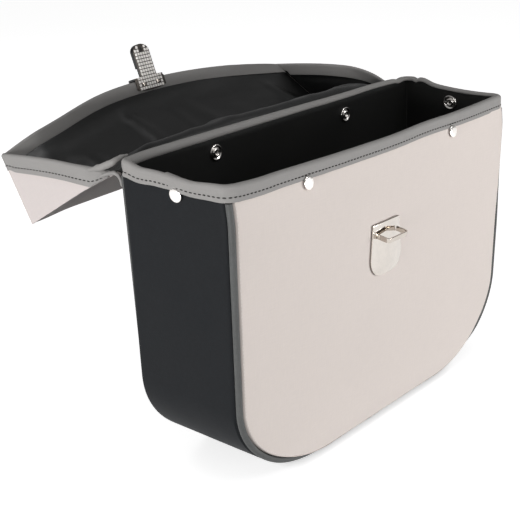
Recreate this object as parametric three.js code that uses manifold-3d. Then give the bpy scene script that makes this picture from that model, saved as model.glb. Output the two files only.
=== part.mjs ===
// A moped saddlebag standing open: a rounded body, a lid thrown back, press studs, a keeper and a clasp.
import * as THREE from "three";
import { mergeVertices } from "three/addons/utils/BufferGeometryUtils.js";
import Module from "manifold-3d";

const wasm = await Module();
wasm.setup();

// All sizes are millimetres. X runs along the width, -Y is the front, +Z is up,
// and the origin is the middle of the flat foot.

// Body outline: straight sides that spread a little, round lower corners and a flat foot
const HEIGHT = 300;
const HALF_WIDTH_TOP = 228;
const HALF_WIDTH_LOW = 224;
const CORNER_RUN = 130;
const CORNER_RISE = 93;
const FRONT_Y_TOP = -60.75;
const FRONT_Y_FOOT = -57;
const BACK_Y = 59.5;
const CROWN = 2;
const CROWN_TOP = 275;

// Layers of the walls: stiff in the body, soft in the lid
const BODY_WALL = 2.5;
const LID_WALL = 1.2;
const LINING = 1;
const GAP = 0.3;
const BODY_STACK = BODY_WALL + GAP + LINING;
const LID_STACK = LID_WALL + GAP + LINING;
const PANEL_RECESS = 1;
const PIPING_RADIUS = 3;
const PIPING_SIDES = 8;
const SEAM = 2 * PIPING_RADIUS + GAP;

// Binding tape folded over a raw edge
const TAPE = 1.2;
const TAPE_CROWN = 0.6;
const TAPE_SLACK = 0.6;
const TAPE_ROOF = TAPE + TAPE_CROWN;
const TAPE_COVER = TAPE_ROOF + GAP;
const TAPE_CORNER = 4;
const TAPE_SHOULDER = 0.65;

// Mouth rim: each row is one side, walked round from the front left corner.
// fromLift and toLift are the heights of its ends above HEIGHT, dip its sag, legExtra its wider tape.
const MOUTH_LEG = 16;
const MOUTH_INNER_LEG = 10;
const RIM = {
  front: { fromLift: -2.5, toLift: -2.8, dip: 5.5, legExtra: 2.2, steps: 14 },
  right: { fromLift: -2.8, toLift: 2.5, dip: 1.5, legExtra: -2.5, steps: 7 },
  back: { fromLift: 2.5, toLift: 2.5, dip: 0, legExtra: 1, steps: 6 },
  left: { fromLift: 2.5, toLift: -2.5, dip: 4, legExtra: -2.5, steps: 7 },
};

// Press studs: a cap outside, a shank through the wall and a socket inside.
// The turned profiles give a radius and how far it stands off the wall.
const STUD_CAP_RADIUS = 6.25;
const STUD_PLAIN_RADIUS = 5;
const STUD_SOCKET_RADIUS = 7.5;
const STUD_SHANK_RADIUS = 2.5;
const STUD_SIDES = 12;
const STUD_SOCKET = [
  { radius: 0, off: 0.8 },
  { radius: 1.8, off: 0.8 },
  { radius: 2.4, off: 2 },
  { radius: 4.2, off: 2.2 },
  { radius: 5.2, off: 1.2 },
  { radius: STUD_SOCKET_RADIUS, off: 1 },
  { radius: STUD_SOCKET_RADIUS, off: 0 },
];
const STUD_CAP = [
  { radius: STUD_CAP_RADIUS, off: 0 },
  { radius: STUD_CAP_RADIUS, off: 1.7 },
  { radius: 5, off: 2.5 },
  { radius: 2.8, off: 3 },
  { radius: 0, off: 3.2 },
];
const STUD_PLAIN = [
  { radius: STUD_PLAIN_RADIUS, off: 0 },
  { radius: STUD_PLAIN_RADIUS, off: 0.8 },
  { radius: 0, off: 0.8 },
];
const STUDS = [
  { name: "press_stud_front_left", side: "front", along: -122, height: 276.5, cap: true },
  { name: "press_stud_front_right", side: "front", along: 117, height: 276.5, cap: true },
  { name: "press_stud_back_left", side: "back", along: -115, height: 285, cap: false },
  { name: "press_stud_back_right", side: "back", along: 94, height: 285, cap: false },
  { name: "press_stud_gusset_left", side: "left", along: 0, height: 279.5, cap: true },
  { name: "press_stud_gusset_right", side: "right", along: 3, height: 281, cap: true },
];

// Keeper on the front: a plate that widens downwards and a bent strip that takes the clasp's tongue
const KEEPER_X = -4;
const KEEPER_PLATE = { top: 45, low: 52, height: 54, foot: 158, corner: 18, thick: 1.5 };
const KEEPER_LOOP = { width: 34, reach: 14, tall: 5, strip: 1.5, corner: 4, foot: 197.5, droop: 9 };

// Lid: the values of its section at the left, in the middle and at the right.
// hingeTop is the height of the roll behind the rim, droop the slope of the top in degrees below level,
// turn the bend at the fold, drop the depth of the front flap, and curl the turn of the flap near its edge.
const LID_HALF_WIDTH = 231;
const LID_RUN = 135;
const LID_HINGE_CLEAR = 0.9;
const LID_HINGE_Y = BACK_Y + LID_HINGE_CLEAR;
const LID_HINGE_FOOT = 272;
const LID_HINGE_RADIUS = 8;
const LID_FOLD_RADIUS = 2.2;
const LID = {
  left: { hingeTop: 298, droop: 32, turn: 91, drop: 72, curl: 0 },
  middle: { hingeTop: 306, droop: 29.8, turn: 66.5, drop: 112.5, curl: 34 },
  right: { hingeTop: 308, droop: 19, turn: 50, drop: 74, curl: 0 },
};
const LID_LEG = 17;
const LID_INNER_LEG = 14;
const LID_EDGE = 19;
const LID_CURL_RUN = 25;

// Wings: the sides of the lid, low at the hinge where the cloth is tucked away
const WING_RUN = 145;
const WING_START = 0.19;
const WING_POWER = 0.81;
const WING_LOW = 4;
const WING_BACK = 128;
const WING_X = LID_HALF_WIDTH + GAP;
const WING_STACK_X = WING_X + LID_WALL - LID_STACK / 2;
const WING_TAPE_BACK = 106;

// Clasp on the middle of the lid's edge: a chequered plate inside and a dark body outside
const CLASP_X = 0;
const CLASP_BASE = { width: 50, leg: 10.5, bulge: 2.5, chamfer: 3 };
const CLASP_TONGUE = { width: 27, length: 36.5, tip: 8.5, neck: 10 };
const CLASP_CLEAR = 0.8;
const CLASP_PLATE = 1.3;
const CLASP_BODY = 4;
const CLASP_NECK = 2.2;
const CLASP_OUTER = 2;
const CLASP_SLOT = { width: 3.5, length: 5, below: 6.6 };
const CLASP_RIVET = { across: 12, below: 5.5, shank: 1.3, head: 2.4, tall: 1.1, brow: 0.7, browTall: 0.8 };

// Facets
const SIDE_STEPS = 5;
const ARC_STEPS = 9;
const FOOT_STEPS = 3;
const DEPTH_STEPS = 4;
const PANEL_STEPS = 10;
const PANEL_LINING_STEPS = 6;
const LID_STEPS = 15;
const WING_STEPS = 10;
const WING_HEIGHT_STEPS = 3;
const CORNER_STEPS = 3;

const { lerp, degToRad } = THREE.MathUtils;

function material(color, roughness, metalness) {
  return new THREE.MeshStandardMaterial({ color, roughness, metalness });
}

const paleCloth = material(0xdfd4ce, 0.85, 0);
const blackLeathercloth = material(0x2f3133, 0.5, 0);
const blackLining = material(0x17181a, 0.7, 0);
const greyTape = material(0x9d9c99, 0.6, 0);
const greyPiping = material(0x737373, 0.6, 0);
const nickel = material(0xdcd8d2, 0.2, 1);
const blackPlastic = material(0x2a2a2b, 0.6, 0);

// Solid geometry from shared vertices, turned so that its faces point out.
function closedGeometry(points, triangles) {
  let volume = 0;
  for (const [a, b, c] of triangles) {
    volume += points[a].dot(points[b].clone().cross(points[c]));
  }
  const facing = volume < 0 ? triangles.map(([a, b, c]) => [a, c, b]) : triangles;
  const geometry = new THREE.BufferGeometry().setFromPoints(points);
  geometry.setIndex(facing.flat());
  return geometry;
}

// A wall of cloth between two faces, each given as a point for a column and a row.
function wallBetween(columns, rows, firstFace, secondFace) {
  const points = [];
  for (const face of [firstFace, secondFace]) {
    for (let row = 0; row <= rows; row += 1) {
      for (let column = 0; column <= columns; column += 1) {
        points.push(face(column, row));
      }
    }
  }
  const layer = (columns + 1) * (rows + 1);
  const first = (column, row) => row * (columns + 1) + column;
  const second = (column, row) => layer + first(column, row);
  const triangles = [];
  const quad = (a, b, c, d) => triangles.push([a, b, c], [a, c, d]);
  for (let row = 0; row < rows; row += 1) {
    for (let column = 0; column < columns; column += 1) {
      const [left, right, low, high] = [column, column + 1, row, row + 1];
      quad(first(left, low), first(right, low), first(right, high), first(left, high));
      quad(second(left, low), second(left, high), second(right, high), second(right, low));
    }
    quad(first(0, row), first(0, row + 1), second(0, row + 1), second(0, row));
    quad(first(columns, row + 1), first(columns, row), second(columns, row), second(columns, row + 1));
  }
  for (let column = 0; column < columns; column += 1) {
    quad(first(column + 1, 0), first(column, 0), second(column, 0), second(column + 1, 0));
    quad(first(column, rows), first(column + 1, rows), second(column + 1, rows), second(column, rows));
  }
  return closedGeometry(points, triangles);
}

// A bar through rings of points that all follow one section; a loop closes on itself, a length has ends.
function barThrough(rings, section, isLoop) {
  const sides = section.length;
  const triangles = [];
  const last = isLoop ? rings.length : rings.length - 1;
  for (let ring = 0; ring < last; ring += 1) {
    const here = ring * sides;
    const next = ((ring + 1) % rings.length) * sides;
    for (let side = 0; side < sides; side += 1) {
      const beside = (side + 1) % sides;
      triangles.push([here + side, here + beside, next + beside], [here + side, next + beside, next + side]);
    }
  }
  if (!isLoop) {
    const end = (rings.length - 1) * sides;
    for (const [a, b, c] of THREE.ShapeUtils.triangulateShape(section, [])) {
      triangles.push([a, c, b], [end + a, end + b, end + c]);
    }
  }
  return closedGeometry(rings.flat(), triangles);
}

function solidOf(geometry) {
  const bare = geometry.clone();
  bare.deleteAttribute("normal");
  bare.deleteAttribute("uv");
  const merged = mergeVertices(bare, 1e-4);
  const vertProperties = new Float32Array(merged.attributes.position.array);
  const triVerts = new Uint32Array(merged.index.array);
  return new wasm.Manifold(new wasm.Mesh({ numProp: 3, vertProperties, triVerts }));
}

function geometryOf(solid) {
  const mesh = solid.getMesh();
  const geometry = new THREE.BufferGeometry();
  geometry.setAttribute("position", new THREE.BufferAttribute(mesh.vertProperties, 3));
  geometry.setIndex(new THREE.BufferAttribute(mesh.triVerts, 1));
  return geometry;
}

function without(geometry, cutters) {
  const cut = cutters.reduce((solid, cutter) => solid.subtract(solidOf(cutter)), solidOf(geometry));
  return geometryOf(cut);
}

function joined(geometries) {
  const [first, ...others] = geometries.map(solidOf);
  return geometryOf(others.reduce((whole, solid) => whole.add(solid), first));
}

function named(name, geometry, finish) {
  const mesh = new THREE.Mesh(geometry, finish);
  mesh.name = name;
  return mesh;
}

// Body outline

function halfWidth(height) {
  return lerp(HALF_WIDTH_LOW, HALF_WIDTH_TOP, Math.max(0, (height - CORNER_RISE) / (HEIGHT - CORNER_RISE)));
}

function frontY(height) {
  return lerp(FRONT_Y_FOOT, FRONT_Y_TOP, height / HEIGHT);
}

function sag(share) {
  return 4 * share * (1 - share);
}

function rimLift(side, share) {
  const { fromLift, toLift, dip } = RIM[side];
  return lerp(fromLift, toLift, share) - dip * sag(share);
}

// Stations down the right side and round its corner, HALF_STATIONS + 1 of them, set in by some depth.
const HALF_STATIONS = SIDE_STEPS + ARC_STEPS;

function halfOutline(station, inset) {
  if (station <= SIDE_STEPS) {
    const height = lerp(HEIGHT, CORNER_RISE, station / SIDE_STEPS);
    return { x: halfWidth(height) - inset, z: height, nx: 1, nz: 0 };
  }
  const angle = ((station - SIDE_STEPS) / ARC_STEPS) * (Math.PI / 2);
  const normal = new THREE.Vector2(Math.cos(angle) / CORNER_RUN, -Math.sin(angle) / CORNER_RISE).normalize();
  const x = HALF_WIDTH_LOW - CORNER_RUN * (1 - Math.cos(angle));
  const z = CORNER_RISE * (1 - Math.sin(angle));
  return { x: x - inset * normal.x, z: z - inset * normal.y, nx: normal.x, nz: normal.y };
}

// The whole outline from the right rim, under the foot and up to the left rim.
const OUTLINE_STATIONS = 2 * HALF_STATIONS + FOOT_STEPS;

function outline(station, inset) {
  if (station <= HALF_STATIONS) {
    return { ...halfOutline(station, inset), side: "right" };
  }
  if (station >= HALF_STATIONS + FOOT_STEPS) {
    const { x, z, nx, nz } = halfOutline(OUTLINE_STATIONS - station, inset);
    return { x: -x, z, nx: -nx, nz, side: "left" };
  }
  const { x, z } = halfOutline(HALF_STATIONS, inset);
  const share = (station - HALF_STATIONS) / FOOT_STEPS;
  return { x: lerp(x, -x, share), z, nx: 0, nz: -1, side: "right" };
}

// Height of a wall's point once its top edge follows the rim under the tape.
function underRim(height, lift) {
  const share = Math.max(0, (height - CORNER_RISE) / (HEIGHT - CORNER_RISE));
  return height + (lift - TAPE_COVER) * share;
}

// Band of the gusset between two depths below the outline, as wide as the seams leave it.
function gussetBand(nearInset, farInset, seam) {
  const face = (inset) => (column, row) => {
    const { x, z, side } = outline(row, inset);
    const front = frontY(z) + seam;
    const back = BACK_Y - seam;
    const across = column / DEPTH_STEPS;
    const share = side === "right" ? across : 1 - across;
    return new THREE.Vector3(x, lerp(front, back, across), underRim(z, rimLift(side, share)));
  };
  return wallBetween(DEPTH_STEPS, OUTLINE_STATIONS, face(nearInset), face(farInset));
}

function frontCrown(share, height) {
  const rise = Math.min(1, height / CROWN_TOP);
  return CROWN * (1 - share * share) * Math.sin(Math.PI * rise) ** 2;
}

// Sheet that fills the outline from rim to foot, with its two faces at given depths behind the seam line.
function panelSheet(side, columns, nearDepth, farDepth, inset) {
  const face = (depth) => (column, row) => {
    const { x, z } = halfOutline(row, inset);
    const across = (2 * column) / columns - 1;
    const share = side === "front" ? (across + 1) / 2 : (1 - across) / 2;
    const y = side === "front" ? frontY(z) + depth - frontCrown(across, z) : BACK_Y - depth;
    return new THREE.Vector3(across * x, y, underRim(z, rimLift(side, share)));
  };
  return wallBetween(columns, HALF_STATIONS, face(nearDepth), face(farDepth));
}

// Round cord in the seam, from under the tape at one side to under the tape at the other.
function pipingCord(side) {
  const section = [];
  for (let step = 0; step < PIPING_SIDES; step += 1) {
    const angle = (step / PIPING_SIDES) * 2 * Math.PI;
    section.push(new THREE.Vector2(PIPING_RADIUS * Math.cos(angle), PIPING_RADIUS * Math.sin(angle)));
  }
  const cover = MOUTH_LEG + GAP;
  const rings = [];
  for (let station = 0; station <= OUTLINE_STATIONS; station += 1) {
    const { x, z, nx, nz, side: end } = outline(station, PIPING_RADIUS);
    const y = side === "front" ? frontY(z) + PIPING_RADIUS : BACK_Y - PIPING_RADIUS;
    const isFrontRight = side === "front" && end === "right";
    const isBackLeft = side === "back" && end === "left";
    const lift = rimLift(end, isFrontRight || isBackLeft ? 0 : 1);
    const share = Math.max(0, (z - CORNER_RISE) / (HEIGHT - CORNER_RISE));
    const height = z + (lift - cover - GAP) * share;
    rings.push(section.map((p) => new THREE.Vector3(x + nx * p.x, y + p.y, height + nz * p.x)));
  }
  return barThrough(rings, section, false);
}

// Half the width of a tape over a stack of cloth.
function tapeHalf(stack) {
  return stack / 2 + TAPE_SLACK + TAPE;
}

// Tape section: across is out from the middle of the stack, down is into the cloth.
function tapeSection(stack, outerLeg, innerLeg) {
  const outside = tapeHalf(stack);
  const inside = outside - TAPE;
  const shoulder = outside * TAPE_SHOULDER;
  const points = [
    [inside, outerLeg],
    [inside, TAPE_ROOF],
    [-inside, TAPE_ROOF],
    [-inside, innerLeg],
    [-outside, innerLeg],
    [-outside, TAPE_ROOF],
    [-shoulder, TAPE_CROWN],
    [0, 0],
    [shoulder, TAPE_CROWN],
    [outside, TAPE_ROOF],
    [outside, outerLeg],
  ];
  return points.map(([across, down]) => new THREE.Vector2(across, down));
}

// One place on the mouth's loop: a point out from the middle of the walls at some height.
function mouthPoint(side, share, turn, across, height) {
  const x = halfWidth(height) - BODY_STACK / 2;
  const front = frontY(height) + PANEL_RECESS + BODY_STACK / 2;
  const back = BACK_Y - PANEL_RECESS - BODY_STACK / 2;
  const start = {
    front: [-x + TAPE_CORNER, front],
    right: [x, front + TAPE_CORNER],
    back: [x - TAPE_CORNER, back],
    left: [-x, back - TAPE_CORNER],
  };
  const end = {
    front: [x - TAPE_CORNER, front],
    right: [x, back - TAPE_CORNER],
    back: [-x + TAPE_CORNER, back],
    left: [-x, front + TAPE_CORNER],
  };
  const facing = { front: -90, right: 0, back: 90, left: 180 };
  const outAngle = degToRad(facing[side]);
  const out = new THREE.Vector2(Math.cos(outAngle), Math.sin(outAngle));
  const along = new THREE.Vector2(...start[side]).lerp(new THREE.Vector2(...end[side]), share);
  const bend = degToRad(facing[side] + turn);
  const rounded = new THREE.Vector2(Math.cos(bend), Math.sin(bend));
  const place = along.addScaledVector(out, -TAPE_CORNER).addScaledVector(rounded, TAPE_CORNER + across);
  return new THREE.Vector3(place.x, place.y, height);
}

function mouthTape() {
  const rings = [];
  const addRing = (side, share, turn) => {
    const top = HEIGHT + rimLift(side, share);
    const leg = MOUTH_LEG + RIM[side].legExtra * sag(share);
    const section = tapeSection(BODY_STACK, leg, MOUTH_INNER_LEG);
    rings.push(section.map((p) => mouthPoint(side, share, turn, p.x, top - p.y)));
  };
  for (const [side, { steps }] of Object.entries(RIM)) {
    for (let step = 0; step <= steps; step += 1) {
      addRing(side, step / steps, 0);
    }
    for (let step = 1; step < CORNER_STEPS; step += 1) {
      addRing(side, 1, (90 * step) / CORNER_STEPS);
    }
  }
  return barThrough(rings, tapeSection(BODY_STACK, MOUTH_LEG, MOUTH_INNER_LEG), true);
}

// Press studs

function studFrame(stud) {
  const { side, along, height } = stud;
  const wall = {
    front: [along, frontY(height) + PANEL_RECESS, -90],
    back: [along, BACK_Y - PANEL_RECESS, 90],
    left: [-halfWidth(height), along, 180],
    right: [halfWidth(height), along, 0],
  };
  const [x, y, facing] = wall[side];
  const frame = new THREE.Object3D();
  frame.position.set(x, y, height);
  frame.rotation.set(0, 0, degToRad(facing - 90));
  return frame;
}

// Stud turned about its axis: the cap stands out along +Y and the socket faces the inside.
function studGeometry(hasCap) {
  const inside = -BODY_STACK - GAP;
  const outer = hasCap ? STUD_CAP : STUD_PLAIN;
  const profile = [
    ...STUD_SOCKET.map(({ radius, off }) => new THREE.Vector2(radius, inside - off)),
    new THREE.Vector2(STUD_SHANK_RADIUS, inside),
    new THREE.Vector2(STUD_SHANK_RADIUS, GAP),
    ...outer.map(({ radius, off }) => new THREE.Vector2(radius, GAP + off)),
  ];
  return new THREE.LatheGeometry(profile, STUD_SIDES);
}

// Cylinder about a stud's axis, from the inside to the outside of the wall.
function studBore(stud, radius, low, high) {
  const bore = new THREE.CylinderGeometry(radius, radius, high - low, STUD_SIDES);
  const frame = studFrame(stud);
  frame.updateMatrix();
  return bore.translate(0, (low + high) / 2, 0).applyMatrix4(frame.matrix);
}

function shankBores(side) {
  const reach = 4 * BODY_STACK;
  return STUDS.filter((stud) => stud.side === side).map((stud) =>
    studBore(stud, STUD_SHANK_RADIUS + GAP, -reach, reach),
  );
}

function studNotches() {
  const reach = 4 * BODY_STACK;
  const middle = -BODY_STACK / 2;
  return STUDS.flatMap((stud) => {
    const outer = (stud.cap ? STUD_CAP_RADIUS : STUD_PLAIN_RADIUS) + GAP;
    return [
      studBore(stud, outer, middle, reach),
      studBore(stud, STUD_SOCKET_RADIUS + GAP, -reach, middle),
    ];
  });
}

function studMeshes() {
  return STUDS.map((stud) => {
    const mesh = named(stud.name, studGeometry(stud.cap), nickel);
    const frame = studFrame(stud);
    mesh.position.copy(frame.position);
    mesh.rotation.copy(frame.rotation);
    return mesh;
  });
}

// Keeper

function keeperPlate() {
  const { top, low, height, corner, thick } = KEEPER_PLATE;
  const shape = new THREE.Shape();
  shape.moveTo(top / 2, height);
  shape.lineTo(-top / 2, height);
  shape.absarc(-low / 2 + corner, corner, corner, Math.PI, 1.5 * Math.PI);
  shape.absarc(low / 2 - corner, corner, corner, 1.5 * Math.PI, 2 * Math.PI);
  const plate = new THREE.ExtrudeGeometry(shape, { depth: thick, bevelEnabled: false, curveSegments: 5 });
  return plate.rotateX(Math.PI / 2);
}

// Strip bent to a U, with its two ends at the plate.
function keeperLoop() {
  const { width, reach, tall, strip, corner, droop } = KEEPER_LOOP;
  const [half, bend] = [width / 2, corner - reach];
  const shape = new THREE.Shape();
  shape.moveTo(-half, 0);
  shape.lineTo(-half, bend);
  shape.absarc(-half + corner, bend, corner, Math.PI, 1.5 * Math.PI);
  shape.absarc(half - corner, bend, corner, 1.5 * Math.PI, 2 * Math.PI);
  shape.lineTo(half, 0);
  shape.lineTo(half - strip, 0);
  shape.absarc(half - corner, bend, corner - strip, 2 * Math.PI, 1.5 * Math.PI, true);
  shape.absarc(-half + corner, bend, corner - strip, 1.5 * Math.PI, Math.PI, true);
  shape.lineTo(-half + strip, 0);
  const loop = new THREE.ExtrudeGeometry(shape, { depth: tall, bevelEnabled: false, curveSegments: 4 });
  return loop.rotateX(degToRad(droop));
}

function keeperMeshes() {
  const panelFace = frontY(KEEPER_PLATE.foot) + PANEL_RECESS - CROWN;
  const plate = named("keeper_plate", keeperPlate(), nickel);
  plate.position.set(KEEPER_X, panelFace - GAP, KEEPER_PLATE.foot);
  const loop = named("keeper_loop", keeperLoop(), nickel);
  loop.position.set(KEEPER_X, panelFace - KEEPER_PLATE.thick - 2 * GAP, KEEPER_LOOP.foot);
  return [plate, loop];
}

// Lid

// A lid value at some width, through its left, middle and right values.
function lidValue(column, x) {
  const share = x / LID_HALF_WIDTH;
  const [left, middle, right] = [LID.left[column], LID.middle[column], LID.right[column]];
  return middle + ((right - left) / 2) * share + ((left + right) / 2 - middle) * share * share;
}

// A point some way along the curl: the chord of an arc that sets off in one direction and turns evenly.
function curlPlace(start, rise, turned, length) {
  const half = turned / 2;
  const chord = half > 0 ? (length * Math.sin(half)) / half : length;
  const direction = new THREE.Vector2(Math.cos(rise + half), Math.sin(rise + half));
  return start.clone().addScaledVector(direction, chord);
}

// The lid's section at some width: the lining's face as turning points, in the plane of Y and Z.
function lidSection(x) {
  const droop = degToRad(lidValue("droop", x));
  const rise = degToRad(lidValue("turn", x)) - droop;
  const top = lidValue("hingeTop", x);
  const hinge = new THREE.Vector2(LID_HINGE_Y + LID_HINGE_RADIUS, top - LID_HINGE_RADIUS);
  const along = new THREE.Vector2(Math.cos(droop), -Math.sin(droop));
  const flap = new THREE.Vector2(Math.cos(rise), Math.sin(rise));
  const slopeStart = hinge.clone().add(new THREE.Vector2(-along.y, along.x).multiplyScalar(LID_HINGE_RADIUS));
  const fold = slopeStart.clone().addScaledVector(along, LID_RUN);
  const tangent = LID_FOLD_RADIUS * Math.tan((droop + rise) / 2);
  const drop = lidValue("drop", x);
  const curl = degToRad(lidValue("curl", x));
  const curlStart = fold.clone().addScaledVector(flap, drop - LID_EDGE - LID_CURL_RUN);
  const lip = new THREE.Vector2(Math.cos(rise + curl), Math.sin(rise + curl));
  const curlEnd = curlPlace(curlStart, rise, curl, LID_CURL_RUN);
  const edge = curlEnd.clone().addScaledVector(lip, LID_EDGE);
  const angles = { droop, rise, curl };
  const directions = { along, flap, lip };
  return { ...angles, ...directions, hinge, slopeStart, fold, curlStart, curlEnd, edge, tangent, drop };
}

function outerNormal(direction) {
  return new THREE.Vector2(direction.y, -direction.x);
}

// Stretches of the lid's section, each with its number of steps.
const LID_STRETCHES = [
  { stretch: "flange", steps: 1 },
  { stretch: "hinge", steps: 4 },
  { stretch: "slope", steps: 3 },
  { stretch: "bend", steps: 3 },
  { stretch: "flap", steps: 2 },
  { stretch: "curl", steps: 3 },
  { stretch: "edge", steps: 1 },
];
const LID_ROWS = LID_STRETCHES.reduce((total, { steps }) => total + steps, 0);

// A point of the lid's section on a stretch, and the direction in which the section runs there.
function lidRun(section, stretch, share) {
  const { droop, rise, curl, along, flap, lip } = section;
  const { hinge, slopeStart, fold, curlStart, curlEnd, tangent } = section;
  if (stretch === "flange") {
    const height = lerp(LID_HINGE_FOOT, hinge.y, share);
    return { place: new THREE.Vector2(LID_HINGE_Y, height), direction: new THREE.Vector2(0, 1) };
  }
  if (stretch === "hinge") {
    const angle = lerp(Math.PI / 2, -droop, share);
    const direction = new THREE.Vector2(Math.cos(angle), Math.sin(angle));
    const place = hinge.clone().addScaledVector(outerNormal(direction), -LID_HINGE_RADIUS);
    return { place, direction };
  }
  if (stretch === "slope") {
    const place = slopeStart.clone().addScaledVector(along, (LID_RUN - tangent) * share);
    return { place, direction: along };
  }
  if (stretch === "bend") {
    const angle = lerp(-droop, rise, share);
    const direction = new THREE.Vector2(Math.cos(angle), Math.sin(angle));
    const centre = fold.clone().addScaledVector(along, -tangent);
    centre.addScaledVector(outerNormal(along), -LID_FOLD_RADIUS);
    return { place: centre.addScaledVector(outerNormal(direction), LID_FOLD_RADIUS), direction };
  }
  if (stretch === "flap") {
    const foot = fold.clone().addScaledVector(flap, tangent);
    return { place: foot.lerp(curlStart, share), direction: flap };
  }
  if (stretch === "curl") {
    const turned = curl * share;
    const direction = new THREE.Vector2(Math.cos(rise + turned), Math.sin(rise + turned));
    return { place: curlPlace(curlStart, rise, turned, LID_CURL_RUN * share), direction };
  }
  return { place: curlEnd.clone().addScaledVector(lip, (LID_EDGE - TAPE_COVER) * share), direction: lip };
}

function lidPoint(x, row, depth) {
  let step = row;
  let index = 0;
  while (step > LID_STRETCHES[index].steps) {
    step -= LID_STRETCHES[index].steps;
    index += 1;
  }
  const { stretch, steps } = LID_STRETCHES[index];
  const { place, direction } = lidRun(lidSection(x), stretch, step / steps);
  place.addScaledVector(outerNormal(direction), depth);
  return new THREE.Vector3(x, place.x, place.y);
}

// Block at an upper corner of the flap, where the sheets are cut away for the tape to go round.
function cornerNotch(sign) {
  const { flap, edge } = lidSection(sign * LID_HALF_WIDTH);
  const out = outerNormal(flap);
  const wide = 4 * TAPE_CORNER;
  const tall = 2 * (LID_LEG + 2 * GAP);
  const block = new THREE.BoxGeometry(wide, wide, tall);
  const middle = edge.clone().addScaledVector(out, LID_STACK / 2 - TAPE_CORNER + wide / 2);
  const frame = new THREE.Matrix4().makeBasis(
    new THREE.Vector3(1, 0, 0),
    new THREE.Vector3(0, out.x, out.y),
    new THREE.Vector3(0, flap.x, flap.y),
  );
  frame.setPosition(sign * (WING_STACK_X - TAPE_CORNER + wide / 2), middle.x, middle.y);
  return block.applyMatrix4(frame);
}

function lidSheet(halfWide, nearDepth, farDepth) {
  const face = (depth) => (column, row) => lidPoint(halfWide * ((2 * column) / LID_STEPS - 1), row, depth);
  const sheet = wallBetween(LID_STEPS, LID_ROWS, face(nearDepth), face(farDepth));
  return without(sheet, [cornerNotch(-1), cornerNotch(1)]);
}

// Height of a wing's free edge above the lid's top, some way back from the fold.
function wingHeight(back, drop) {
  const share = 1 - back / WING_RUN;
  const risen = Math.max(0, (share - WING_START) / (1 - WING_START));
  return WING_LOW + (drop - WING_LOW) * risen ** WING_POWER;
}

// A point of a wing's plane: back from the fold along the lid's top, up along the flap, out by depth.
function wingPoint(sign, x, back, up, depth) {
  const { along, flap, fold } = lidSection(sign * LID_HALF_WIDTH);
  const place = fold.clone().addScaledVector(outerNormal(along), depth);
  place.addScaledVector(outerNormal(flap), depth);
  place.addScaledVector(along, -back).addScaledVector(flap, up);
  return new THREE.Vector3(sign * x, place.x, place.y);
}

function wingSheet(sign, nearX, farX, depth) {
  const { drop } = lidSection(sign * LID_HALF_WIDTH);
  const face = (x) => (column, row) => {
    const back = (WING_BACK * row) / WING_STEPS;
    const top = wingHeight(back - depth, drop) + depth - TAPE_COVER;
    return wingPoint(sign, x, back, (top * column) / WING_HEIGHT_STEPS, depth);
  };
  const sheet = wallBetween(WING_HEIGHT_STEPS, WING_STEPS, face(nearX), face(farX));
  return without(sheet, [cornerNotch(sign)]);
}

// Tape along one wing's edge, the flap's curved edge and the other wing's edge.
function lidTape() {
  const rings = [];
  const wingRing = (sign, back) => {
    const { drop, flap } = lidSection(sign * LID_HALF_WIDTH);
    const height = wingHeight(back, drop);
    const into = new THREE.Vector3(0, -flap.x, -flap.y);
    const edge = wingPoint(sign, WING_STACK_X, back, height, 0);
    const out = new THREE.Vector3(sign, 0, 0);
    const outerLeg = Math.min(LID_LEG, height + LID_STACK - GAP);
    const innerLeg = Math.min(LID_INNER_LEG, height - LINING);
    rings.push(tapeSection(LID_STACK, outerLeg, innerLeg).map((p) =>
      edge.clone().addScaledVector(out, p.x).addScaledVector(into, p.y),
    ));
  };
  const flapRing = (x, turn) => {
    const { lip, edge } = lidSection(x);
    const into = new THREE.Vector3(0, -lip.x, -lip.y);
    const normal = outerNormal(lip);
    const out = new THREE.Vector3(0, normal.x, normal.y);
    const sideways = new THREE.Vector3(Math.sign(x), 0, 0);
    const middle = edge.clone().addScaledVector(normal, LID_STACK / 2 - TAPE_CORNER);
    const rounded = out.clone().multiplyScalar(Math.cos(turn)).addScaledVector(sideways, Math.sin(turn));
    const centre = new THREE.Vector3(x, middle.x, middle.y);
    rings.push(tapeSection(LID_STACK, LID_LEG, LID_INNER_LEG).map((p) =>
      centre.clone().addScaledVector(rounded, TAPE_CORNER + p.x).addScaledVector(into, p.y),
    ));
  };
  const flapEnd = WING_STACK_X - TAPE_CORNER;
  const wingSteps = WING_STEPS - 2;
  for (let step = 0; step <= wingSteps; step += 1) {
    wingRing(-1, lerp(WING_TAPE_BACK, TAPE_CORNER - LID_STACK / 2, step / wingSteps));
  }
  for (let step = 1; step < CORNER_STEPS; step += 1) {
    flapRing(-flapEnd, degToRad(90 - (90 * step) / CORNER_STEPS));
  }
  for (let step = 0; step <= LID_STEPS; step += 1) {
    flapRing(flapEnd * ((2 * step) / LID_STEPS - 1), 0);
  }
  for (let step = 1; step < CORNER_STEPS; step += 1) {
    flapRing(flapEnd, degToRad((90 * step) / CORNER_STEPS));
  }
  for (let step = wingSteps; step >= 0; step -= 1) {
    wingRing(1, lerp(WING_TAPE_BACK, TAPE_CORNER - LID_STACK / 2, step / wingSteps));
  }
  return barThrough(rings, tapeSection(LID_STACK, LID_LEG, LID_INNER_LEG), false);
}

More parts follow.
